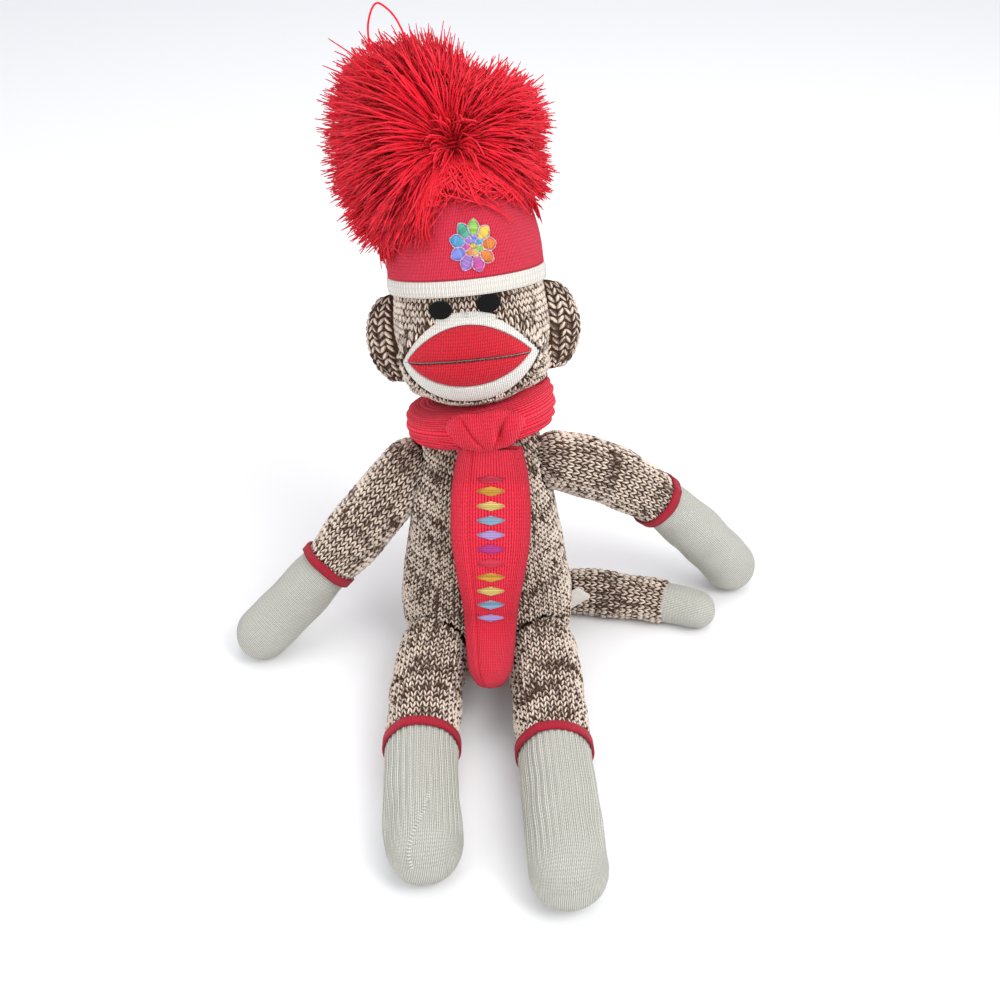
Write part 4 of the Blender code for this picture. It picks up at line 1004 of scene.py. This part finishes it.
def make_hat():
    """The red knitted crown, gathered at the tie, and the white ribbed brim."""
    radius, base = hat_base()
    shares = sin(linspace(0, pi / 2, 64))
    outer = radius * through(shares, HAT_PLACES, HAT_WIDTHS)
    outer[-1] = 0
    local = rings((base + shares * HAT_HEIGHT)[:, None] * UP, LEFT, FRONT, outer, outer * HEAD_DEPTH_SHARE, 180)
    gather = 1 + 0.06 * cos(22 * circle(180)) * clip((shares - 0.55) / 0.45, 0, 1)[:, None]
    local[..., :2] *= gather[..., None]
    inner = local[::-1].copy()
    inner[..., :2] *= 1 - HAT_WALL / radius
    inner[..., 2] = base + (inner[..., 2] - base) * (1 - HAT_WALL / HAT_HEIGHT)
    crown = fine_knit("hat_knit_crown", Cloth(from_head(concatenate([inner, local]))),
                      knit_look("red_hat_knit", dye("hat_red"), 0.0008, 0.3))
    settle(crown, "head", "red_knit", "hat_crown")
    inner_radius = float(head_radius(BRIM_HEIGHT)) + 0.0003
    ribs = round(2 * pi * inner_radius / RIM_STITCH[0])
    turn, section = circle(4 * ribs)[:, None], circle(28)
    rib = 0.00025 * cos(ribs * turn) * (cos(section) > 0)
    radius = inner_radius + BRIM_THICKNESS / 2 + squared(cos(section), 0.5) * BRIM_THICKNESS / 2 + rib
    height = BRIM_HEIGHT + BRIM_WIDTH / 2 + squared(sin(section), 0.7) * BRIM_WIDTH / 2 + 0 * rib
    local = stack([radius * cos(turn), radius * HEAD_DEPTH_SHARE * sin(turn), height], axis=-1)
    points, triangles, shares = Cloth(from_head(local), ring=True).mesh()
    shares = shares[..., ::-1]
    brim = piece("hat_ribbed_brim", points, triangles,
                 {"Knit": shares * array((ribs, 12)), "OFBake": shares * 0.98 + 0.01},
                 [knit_look("white_cotton_ribbing", dye("white"), 0.0003, 0.75)])
    settle(brim, "head", "white_ribbing", "hat_brim")

    def lay(flat, rise):
        height = ROSETTE_HEIGHT + 0.88 * flat[..., 1]
        turn = ROSETTE_TURN + 0.8 * flat[..., 0] / hat_radius(ROSETTE_HEIGHT)
        out = hat_radius(height) + rise
        return from_head(stack([out * sin(turn), -out * HEAD_DEPTH_SHARE * cos(turn), height], axis=-1))
    embroider("hat_rosette_stitches", *rosette(), lay, "head", "red_knit")


# Limbs

def make_limb(limb, seam, steps, stitch, cap_name, cap_node, seed, ribs=0.0):
    """A limb's marl sleeve and its cream end, each a closed pad."""
    sleeve = limb.skin(-1, seam, 96, 80)
    sleeve = limb.fitted(sleeve.moved(lumps(sleeve.points, 0.026, seed) * 0.0007))
    sleeve.points[..., 2] = maximum(sleeve.points[..., 2], 2 * FLOOR_GAP)
    body = limb.name
    made = marl_knit(f"{body}_marl_sleeve", sleeve, lambda points: inside_torso(points, -0.0005), seed)
    settle(made, body, "ragg_marl_knit", "tail_tube" if body == "tail" else f"{body}_sleeve", f"{body}_stuffing",
           fill=0.7)
    count = 2 * round(2 * pi * float(limb.radius(0.9)) / (2 * stitch[0]))
    cap = limb.skin(seam, 2, 4 * count if ribs else 96, steps)
    puff = lumps(cap.points, 0.022, seed + 1) * 0.0005
    if ribs:
        fade = clip((0.84 - linspace(0, 1, len(cap.points))) * 6, 0, 1)[:, None]
        puff = puff - ribs * cos((circle(4 * count) - pi) * count / 2) * fade
    cap = cap.moved(puff - 0.0002)
    cap.points[..., 2] = maximum(cap.points[..., 2], FLOOR_GAP)
    made = fine_knit(cap_name, cap, knit_look("cream_sock_knit", dye("sock"), 0.0007, 0.42), stitch,
                     lambda points: limb.plan(points, seam, stitch))
    settle(made, body, "cream_knit", cap_node, fill=0.7)
    return cap


def make_ribbon(limb, seam, name):
    """A crimson ribbon stitched over the seam, its end lapped over its start."""
    length = float(np.linalg.norm(limb.end - limb.root))
    turn = circle(160)
    out = array((0.0012, 0.0019, 0.0019, 0.0019, 0.0012, 0.0003, 0.0003, 0.0003))
    place = array((-0.5, -0.46, 0, 0.46, 0.5, 0.46, 0, -0.46)) * bpy.context.scene.doll_sizes.ribbon_width
    shares = seam + (place + 0.0002 * sin(5 * turn + seam * 9)[:, None]) / length
    heads = limb.heading(shares)
    side = unit(cross(heads, UP))
    radius = (limb.radius(shares) + out + 0.0007 * bell(turn, 1.1, 0.12)[:, None])[..., None]
    turn = turn[:, None, None]
    points = limb.point(shares) + radius * (side * cos(turn) + cross(side, heads) * sin(turn))
    points[..., 2] = maximum(points[..., 2], FLOOR_GAP)
    made = fine_knit(f"{name}_ribbon_band", Cloth(points, ring=True),
                     knit_look("crimson_grosgrain", dye("crimson"), 0.0005, 0.6, 0.6), counts=(84, 3), crossed=True)
    settle(made, limb.name, "crimson_ribbon", f"{name}_ribbon")


def make_toe_seam(limb, cap):
    """The stitched seam that runs over the toe of the right foot."""
    share = linspace(0, 1, 34)
    points, normals = cap.at(0.455 + 0.19 * share**2, 0.5 + 0.42 * share)
    sides = unit(cross(normals, gradient(points, axis=0)))
    paths = stack([points + sides * across + normals * rise for across, rise in (
        (-0.0011, -0.0002), (-0.0005, 0.0005), (0.0005, 0.0005), (0.0011, -0.0002))], axis=1)
    made = strands("right_toe_seam", paths, np.full(4, 0.0004),
                   speckled_look("cream_seam_thread", dye("cream"), 0.0008, 0.0001, 0.8), 4)
    settle(made, limb.name, "cream_knit")


def make_limbs():
    """Arms with hands, legs with ribbed feet, the tail, and the ribbons over their seams."""
    lines = limbs()
    for index, side in enumerate(("right", "left")):
        limb = lines[f"{side}_arm"]
        make_limb(limb, WRIST_SHARE, 80, HAND_STITCH, f"{side}_knit_hand", f"{side}_hand", 41 + index)
        make_ribbon(limb, WRIST_SHARE, f"{side}_wrist")
        limb = lines[f"{side}_leg"]
        cap = make_limb(limb, ANKLE_SHARES[side], 90, FOOT_STITCH, f"{side}_knit_foot", f"{side}_foot",
                        51 + index, FOOT_RIB)
        make_ribbon(limb, ANKLE_SHARES[side], f"{side}_ankle")
        if side == "right":
            make_toe_seam(limb, cap)
    make_limb(lines["tail"], TAIL_TIP_SHARE, 60, HAND_STITCH, "tail_knit_tip", "tail_tip", 61)


# Scarf

def make_collar():
    """The scarf's band round the neck: long soft folds, fuller and higher at the doll's left."""
    turn, section = circle(240)[:, None], circle(144)[None]
    aside, above = cos(section), sin(section)
    fullness = 1 + 0.14 * cos(turn - 0.3)
    drift = 1.1 * sin(2 * turn + 0.6) + 0.6 * sin(5 * turn)
    fold = 0.0015 * (abs(cos(6.5 * section + drift)) - 0.6) * clip(aside + 0.2, 0, 1) * (1 - 0.8 * clip(above, 0, 1))
    out = COLLAR_HALF_WIDTH * where(aside < 0, 1.9, 1.0) * squared(aside, 0.7) + fold
    rise = COLLAR_HALF_HEIGHT * fullness * squared(above, 0.8) + fold * above
    slope = 0.0035 * clip(-aside, 0, 1) * (above > 0) * abs(above)
    height = rise + slope - COLLAR_DROP + 0.0035 * cos(turn - 0.5) + 0.002 - 0.003 * clip(sin(turn), 0, 1)
    jaw = interp(height, (NECK_TOP, JAW_SHARE * HEAD_HEIGHT), (0.019, float(head_radius(0)) + JAW))
    clear = where(height > NECK_TOP, jaw, chord(NECK_RADIUS, height)) + 0.0012
    radius = maximum(COLLAR_RADIUS + out, clear)
    local = stack([radius * cos(turn), radius * sin(turn), height], axis=-1)
    made = fine_knit("scarf_collar_band", Cloth(from_head(local), ring=True), scarf_look(), counts=(26, 104))
    settle(made, "torso", "scarf_red_knit", "scarf_collar", fill=0.4)


def make_knot():
    """The scarf's knot: a folded pad with pleats and two creases, lowered under the chin."""
    turns, around = linspace(0, pi, 80)[:, None], circle(96)[None]
    across, high = -cos(turns), sin(around)
    facing = clip(cos(around) + 0.1, 0, 1)
    pleat = 0.94 + 0.2 * facing * abs(sin(5.2 * across * (1 - 0.35 * high) + 0.5))**1.3
    size = sin(turns)**0.5 * pleat * (1 + 0.22 * facing * high)
    dimple = 0.005 * exp(-((across - 0.38) / 0.15)**2 - ((high + 0.1) / 0.5)**2) * (cos(around) > 0)
    for middle, lean in ((-0.38, -0.3), (0.4, 0.26)):
        dimple = dimple + 0.003 * facing * exp(-((across - middle - lean * high) / 0.06)**2)
    aside = KNOT_SIDE + KNOT_HALF[0] * across * (1 + 0.12 * high)
    forward = -(COLLAR_RADIUS + COLLAR_HALF_WIDTH) - KNOT_HALF[1] * size * cos(around) + dimple
    height = minimum(-COLLAR_DROP + KNOT_HALF[2] * size * high, chin_room(aside, forward))
    made = fine_knit("scarf_knot_fold", Cloth(from_head(stack([aside, forward, height], axis=-1))), scarf_look(),
                     SCARF_STITCH, face_plan)
    settle(made, "torso", "scarf_red_knit", "scarf_knot", fill=0.5)


def scarf_route():
    """The middle line of the hanging end: down the front, round the lap and forwards."""
    top = pivot("scarf_end_swing")
    half = SCARF_THICKNESS / 2
    bottom = LAP_HEIGHT + LAP_BEND
    heights = linspace(top[2], bottom, 40)
    front = torso_middle(heights)[:, 1] - torso_sizes(heights)[1] - 0.0014 - half
    front = minimum(front, top[1] + 2 * half)
    turns = linspace(0, pi / 2, 14)[1:]
    bend = front[-1] - LAP_BEND * (1 - cos(turns))
    reach = linspace(bend[-1], -LAP_REACH, 20)[1:]
    forward = concatenate([front, bend, reach])
    height = concatenate([heights, bottom - LAP_BEND * sin(turns), np.full(len(reach), LAP_HEIGHT)])
    return stack([0 * forward, forward, height], axis=-1)


def make_scarf_end():
    """The hanging end: a soft flattened tube with a rolled border, narrowing to a round tip."""
    route = scarf_route()
    steps = concatenate([[0], np.cumsum(np.linalg.norm(np.diff(route, axis=0), axis=1))])
    share = concatenate([[0, 0], linspace(0, 0.93, 100), 0.93 + 0.07 * sin(linspace(0, pi / 2, 24)[1:])])
    middles = stack([interp(share * steps[-1], steps, route[:, axis]) for axis in range(3)], axis=-1)
    middles[:, 0] = pivot("scarf_end_swing")[0] * (1 - share) + 0.0015
    ahead = unit(gradient(middles, axis=0) + array((0, -1e-9, 0)))
    ahead[:2] = ahead[3]
    around = circle(120) - pi / 2
    aside, facing = cos(around), sin(around)
    width = through(share, SCARF_PLACES, SCARF_WIDTHS)
    width[0] = 0
    plump = clip(width / 0.02, 0.12, 1)[:, None]
    border = 0.0013 * bell(aside, -0.72, 0.09) - 0.0013 * bell(aside, -0.55, 0.05) + 0.0004 * bell(aside, 0.8, 0.06)
    thick = SCARF_THICKNESS / 2 * plump * squared(facing, 0.6) + border * (facing > 0) * plump
    points = (middles[:, None] + LEFT * (aside * width[:, None] / 2)[..., None]
              - cross(LEFT, ahead)[:, None] * thick[..., None])
    points[0], points[-1] = points[0].mean(axis=0), points[-1].mean(axis=0)
    cloth = Cloth(points)
    made = fine_knit("scarf_hanging_end", cloth, scarf_look(), SCARF_STITCH)
    settle(made, "scarf_hanging", "scarf_red_knit", "scarf_end")

    def lay(flat, rise):
        last = len(points) - 1
        row = clip((CHAIN_START - flat[..., 1] / steps[-1]) / 0.93 * 99 + 2, 0, last) / last
        girth = interp(row, linspace(0, 1, len(points)), cloth.girths())
        spots, normals = cloth.at(0.5 + flat[..., 0] / girth, row)
        return spots + normals * rise[..., None]
    embroider("scarf_diamond_stitches", *diamonds(11, (CHAIN_END - CHAIN_START) * steps[-1] / 10), lay,
              "scarf_hanging", "scarf_red_knit")


# Embroidery

def satin(middle, ahead, length, half_width, bend=0.75):
    """Stitches side by side across a pointed leaf, as pairs of flat places."""
    middle, ahead = array(middle), array(ahead)
    count = round(length / THREAD_PITCH)
    share = ((arange(count) + 0.5) / count)[:, None]
    reach = array((-ahead[1], ahead[0])) * half_width * sin(pi * share)**bend
    spine = middle + ahead * (share - 0.5) * length
    return stack([spine - reach, spine + reach], axis=1)


def rosette():
    """A small round flower of satin petals, each in its own colour, with a pale stitched edge."""
    stitches, dyes = [], []
    for ring, (count, near, far, width) in enumerate(((9, 0.0055, 0.0165, 0.0041), (7, 0.0016, 0.0078, 0.0024))):
        for index in range(count):
            turn = 2 * pi * (index + 0.5 * ring) / count
            ahead = array((cos(turn), sin(turn)))
            leaf = satin(ahead * (near + far) / 2, ahead, far - near, width)
            edge = concatenate([leaf[::3, 0], leaf[::-3, 1], leaf[:1, 0]])
            edge = stack([edge[:-1], edge[1:]], axis=1)
            stitches += [leaf, edge]
            dyes += [ROSETTE_DYES[(index + 4 * ring) % 8]] * len(leaf) + [OUTLINE_DYE] * len(edge)
    heart = satin((0, 0), (1, 0), 0.0042, 0.0021, 0.5)
    return concatenate(stitches + [heart]), dyes + [ROSETTE_DYES[1]] * len(heart)


def diamonds(count, gap):
    """A column of small diamonds with open spaces between them."""
    column = [satin((0, -gap * index), (0, -1), gap * 0.66, 0.0056, 1.0) for index in range(count)]
    return concatenate(column), [CHAIN_DYES[index % len(CHAIN_DYES)] for index in range(count) for _ in column[index]]


def embroider(name, stitches, dyes, lay, body, slot):
    """Sew flat stitches onto a surface; lay turns flat places and a rise into places in space."""
    share = linspace(0, 1, 5)
    flat = stitches[:, :1] * (1 - share)[None, :, None] + stitches[:, 1:] * share[None, :, None]
    rise = 0.0002 + 0.0005 * sin(pi * share)**0.5
    dyes = array([linear(dye) for dye in dyes]) * np.random.default_rng(5).uniform(0.6, 1.15, (len(dyes), 1))
    made = strands(name, lay(flat, broadcast_to(rise, flat.shape[:2])),
                   array((0.00016, 0.00026, 0.00026, 0.00026, 0.00016)), thread_look("embroidery_thread"), 4,
                   dyes=dyes)
    settle(made, body, slot)


# Pom-pom

def pompom_paths(tie, count, random):
    """Yarn ends bursting from the tie like a fountain, in a large lobe and a smaller one, over the hat."""
    turn = random.uniform(0, 360, count)
    bare = (turn > 262) & (turn < 322)
    turn = where(bare & (random.uniform(size=count) < 0.8), random.uniform(60, 260, count), turn)
    lean = np.arcsin(random.uniform(-0.85, 1, count))
    lock = np.floor(turn / 9 + 2.2 * sin(3 * lean))
    turn = turn + (9 * (lock + 0.5 - 2.2 * sin(3 * lean)) - turn) * random.uniform(0, 0.6, count)
    reach = interp(turn % 360, POMPOM_TURNS, POMPOM_REACHES) * (0.95 + 0.1 * random.uniform(size=count)**2)
    reach *= 1 + 0.05 * sin(lock * 2.7) - 0.72 * random.uniform(size=count)**0.8 * clip(sin(lean), 0, 1)
    bundle = random.uniform(size=count) < 0.06
    reach = where(bundle, random.uniform(0.009, 0.02, count), reach)
    stray = random.uniform(size=count) < 0.02
    reach = where(stray, reach * random.uniform(1.03, 1.12, count), reach)
    turn = np.radians(turn)
    plane = LEFT * cos(turn)[:, None] + PICTURE_UP * sin(turn)[:, None]
    side = cross(plane, PICTURE_OUT)
    share = linspace(0, 1, 10)
    low, high = cos(lean)[:, None], sin(lean)[:, None]
    along = low * share + (1 - low) * 0.92 * share**1.12
    lift = where(bundle, 1.5, 0.55)[:, None]
    out = high * lift * sin(0.72 * pi * share) / (1 + clip(-high, 0, 1))
    wave = share[None] * random.uniform(3, 8, count)[:, None] + random.uniform(0, 6, count)[:, None]
    curl = sin(wave) * random.uniform(0.001, 0.0042, count)[:, None] * share
    sway = random.normal(0, 0.004, count) + 0.007 * sin(lock * 1.9) + 0.005 * sin(lock * 4.7)
    sway = sway[:, None] * share**1.6
    fall = (0.005 + 0.006 * clip(high, 0, 1)) * share**2
    local = to_head((tie + plane * 0.002)[:, None] + plane[:, None] * (reach[:, None] * along)[..., None]
                    + PICTURE_OUT * (reach[:, None] * out + 0.5 * curl)[..., None]
                    + side[:, None] * (curl + sway)[..., None] - UP * fall[..., None])
    around = hypot(local[..., 0], local[..., 1])
    base = hat_base()[1]
    floor = where(local[..., 2] < base + HAT_HEIGHT, hat_radius(clip(local[..., 2], base, None)), 0)
    wanted = maximum(around, floor + random.uniform(0.001, 0.0035, count)[:, None])
    local[..., :2] *= (wanted / maximum(around, 1e-6))[..., None]
    half = share * (len(share) - 1) * 0.45
    low = half.astype(int)
    short = local[:, low] + (local[:, low + 1] - local[:, low]) * (half - low)[:, None]
    over = (local[..., 2] < 0.117) & (abs(local[..., 0] - 0.008) < 0.019) & (local[..., 1] < 0)
    return from_head(where(over.any(axis=1)[:, None, None], short, local))


def make_pompom():
    """The pom-pom's yarn ends, its core darkened as painted shade, a stray loop and the tie."""
    sizes = bpy.context.scene.doll_sizes
    random = np.random.default_rng(7)
    tie = from_head(TIE_HEIGHT * UP)
    count = sizes.strands
    paths = pompom_paths(tie, count, random)
    radii = sizes.strand_radius * array((0.8, 0.9, 1, 1, 1.05, 1.1, 1.1, 1.05, 0.9, 0.5))
    look = yarn_look("acrylic_pompom_yarn", dye("yarn_red"))
    tone = random.normal(0, 0.35, count)
    for index in range(3):
        part = slice(index * (count // 3), (index + 1) * (count // 3))
        made = strands(f"pompom_yarn_{index + 1}", paths[part], radii, look, 3, 5.0, 0.75, tone[part])
        settle(made, "head", "red_yarn", *([] if index else ["pompom"]))
    # The core is a dark ball at the tie: painted shade for the pom-pom's deep middle.
    core = Cloth(egg(tie - PICTURE_OUT * 0.004, UP, CORE_RADIUS, FRONT, CORE_RADIUS, CORE_RADIUS, 24, 48))
    made = fine_knit("pompom_yarn_core", core.moved(lumps(core.points, 0.008, 3) * 0.001), speckled_look(
        "shaded_pompom_yarn", tinted(dye("yarn_red"), 0.4), 0.002, 0.001, 0.9))
    settle(made, "head", "red_yarn")
    aside, above = (through(linspace(0, 1, 30), linspace(0, 1, len(LOOP_SPOTS)), values)[:, None]
                    for values in zip(*LOOP_SPOTS))
    made = strands("pompom_stray_loop", (tie + LEFT * aside + PICTURE_UP * above)[None],
                   np.full(30, sizes.strand_radius), look, 5)
    settle(made, "head", "red_yarn")
    turns = linspace(0, 2 * pi * 3, 40)
    wrap = stack([0.0042 * cos(turns), 0.0042 * sin(turns), TIE_HEIGHT - 0.002 + 0.0012 * turns / pi], axis=-1)
    made = strands("pompom_tie_yarn", from_head(wrap)[None], np.full(40, sizes.strand_radius), look, 6)
    settle(made, "head", "red_yarn", "pompom_tie")


# Label

def make_label():
    """The bare satin label, folded and caught in the side seam."""
    low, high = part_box("label_tag")
    middle = ((low.x + high.x) / 2 - 0.0045, (low.y + high.y) / 2, (low.z + high.z) / 2 + 0.0095)
    width, height = high.x - low.x, high.z - low.z
    bpy.ops.object.select_all(action="DESELECT")
    bpy.ops.mesh.primitive_plane_add(size=1, location=(0, 0, 0))
    label = bpy.context.object
    label.name = "label_satin_fold"
    bpy.ops.object.mode_set(mode="EDIT")
    bpy.ops.mesh.select_all(action="SELECT")
    bpy.ops.transform.resize(value=(width + 0.001, height, 1))
    bpy.ops.mesh.subdivide(number_cuts=14)
    bpy.ops.object.mode_set(mode="OBJECT")
    for vertex in label.data.vertices:
        x, z = vertex.co.x, vertex.co.y
        vertex.co = (middle[0] + x * cos(LABEL_TILT) + z * sin(LABEL_TILT),
                     middle[1] + 0.0012 * sin(3 * x / width + z / height),
                     middle[2] + z * cos(LABEL_TILT) - x * sin(LABEL_TILT))
    layer = label.modifiers.new("Two layers", "SOLIDIFY")
    layer.thickness, layer.offset = 0.0008, 0
    edge = label.modifiers.new("Soft edge", "BEVEL")
    edge.width, edge.segments = 0.0002, 2
    for modifier in ("Two layers", "Soft edge"):
        bpy.ops.object.modifier_apply(modifier=modifier)
    label.data.materials.append(
        speckled_look("white_woven_satin", dye("white"), 0.0006, 0.00005, 0.45, 0.2, 0.06))
    bpy.ops.object.shade_smooth_by_angle(angle=radians(40))
    settle(label, "torso", "white_satin_label", "label_tag")


# Stage

def make_stage():
    """A pale floor, soft studio lights and the camera."""
    bpy.ops.object.select_all(action="DESELECT")
    bpy.ops.mesh.primitive_plane_add(size=12, location=(0, 2, 0))
    floor = bpy.context.object
    floor.name = "studio_floor"
    look, tree = bare_look("pale_studio_floor", 0.9)
    tree.nodes["Principled BSDF"].inputs["Base Color"].default_value = (*linear("#f6f6f6"), 1)
    floor.data.materials.append(look)
    scene = bpy.context.scene
    scene.world = bpy.data.worlds.new("studio_air")
    scene.world.use_nodes = True
    air = scene.world.node_tree.nodes["Background"].inputs
    air["Color"].default_value, air["Strength"].default_value = (*linear("#f7f9ff"), 1), 0.75
    scene.view_settings.view_transform = "Standard"
    for name, place, aim, size, power in (
            ("key_light", (0.9, -0.7, 1.3), (0, 0, 0.12), 0.9, 14),
            ("fill_light", (-1.1, -0.8, 0.9), (0, 0, 0.12), 1.2, 6),
            ("top_light", (0.1, 0.3, 1.6), (0, 0, 0.1), 1.2, 8)):
        bpy.ops.object.light_add(type="AREA", location=place)
        light = bpy.context.object
        light.name = name
        light.data.size, light.data.energy = size, power
        away = unit(array(place) - array(aim))
        light.rotation_euler = (acos(away[2]), 0, atan2(away[0], -away[1]))
    bpy.ops.object.camera_add(location=CAMERA_PLACE, rotation=(CAMERA_TILT, 0, 0))
    camera = bpy.context.object
    camera.name = "photo_camera"
    camera.data.lens, camera.data.sensor_width = CAMERA_LENS, 36
    scene.camera = camera


# Operators

class DollMaker:
    """What every operator shares: it runs its steps."""

    bl_options = {"REGISTER", "UNDO"}

    def execute(self, context):
        for step in self.steps:
            step()
        return {"FINISHED"}


class DOLL_OT_stage(DollMaker, bpy.types.Operator):
    """Lay a pale floor, set soft studio lights and the camera"""

    bl_idname, bl_label = "doll.stage", "Stage"
    steps = (make_stage,)


class DOLL_OT_torso(DollMaker, bpy.types.Operator):
    """Knit the torso's marl skin"""

    bl_idname, bl_label = "doll.torso", "Torso"
    steps = (make_torso,)


class DOLL_OT_head(DollMaker, bpy.types.Operator):
    """Knit the head, muzzle, lips, eyes and ears"""

    bl_idname, bl_label = "doll.head", "Head and face"
    steps = (make_head, make_muzzle, make_lips, make_eyes, make_ears)


class DOLL_OT_hat(DollMaker, bpy.types.Operator):
    """Knit the hat and its brim"""

    bl_idname, bl_label = "doll.hat", "Hat"
    steps = (make_hat,)


class DOLL_OT_limbs(DollMaker, bpy.types.Operator):
    """Knit the arms, legs and tail, and sew on their ribbons"""

    bl_idname, bl_label = "doll.limbs", "Arms, legs and tail"
    steps = (make_limbs,)


class DOLL_OT_scarf(DollMaker, bpy.types.Operator):
    """Knit the scarf's collar, knot and hanging end"""

    bl_idname, bl_label = "doll.scarf", "Scarf"
    steps = (make_collar, make_knot, make_scarf_end)


class DOLL_OT_pompom(DollMaker, bpy.types.Operator):
    """Tie the yarn pom-pom"""

    bl_idname, bl_label = "doll.pompom", "Pom-pom"
    steps = (make_pompom,)


class DOLL_OT_label(DollMaker, bpy.types.Operator):
    """Fold the label into the side seam"""

    bl_idname, bl_label = "doll.label", "Label"
    steps = (make_label,)


class DOLL_PT_panel(bpy.types.Panel):
    """The doll's sizes, colours and makers"""

    bl_label = "Sock monkey doll"
    bl_space_type = "VIEW_3D"
    bl_region_type = "UI"
    bl_category = "Doll"

    def draw(self, context):
        for group in (context.scene.doll_sizes, context.scene.doll_colours):
            for key in group.__annotations__:
                self.layout.prop(group, key)
        for maker in MAKERS:
            self.layout.operator(maker.bl_idname)


MAKERS = (DOLL_OT_stage, DOLL_OT_torso, DOLL_OT_head, DOLL_OT_hat, DOLL_OT_limbs, DOLL_OT_scarf,
          DOLL_OT_pompom, DOLL_OT_label)
CLASSES = (DollColours, DollSizes, *MAKERS, DOLL_PT_panel)


def register():
    """Add the classes and the scene's settings."""
    for each in CLASSES:
        bpy.utils.register_class(each)
    bpy.types.Scene.doll_sizes = PointerProperty(type=DollSizes)
    bpy.types.Scene.doll_colours = PointerProperty(type=DollColours)


def unregister():
    """Take them away again."""
    del bpy.types.Scene.doll_colours
    del bpy.types.Scene.doll_sizes
    for each in reversed(CLASSES):
        bpy.utils.unregister_class(each)


def main():
    """Make every piece."""
    register()
    bpy.ops.doll.stage()
    bpy.ops.doll.torso()
    bpy.ops.doll.head()
    bpy.ops.doll.hat()
    bpy.ops.doll.limbs()
    bpy.ops.doll.scarf()
    bpy.ops.doll.pompom()
    bpy.ops.doll.label()


if __name__ == "__main__":
    main()
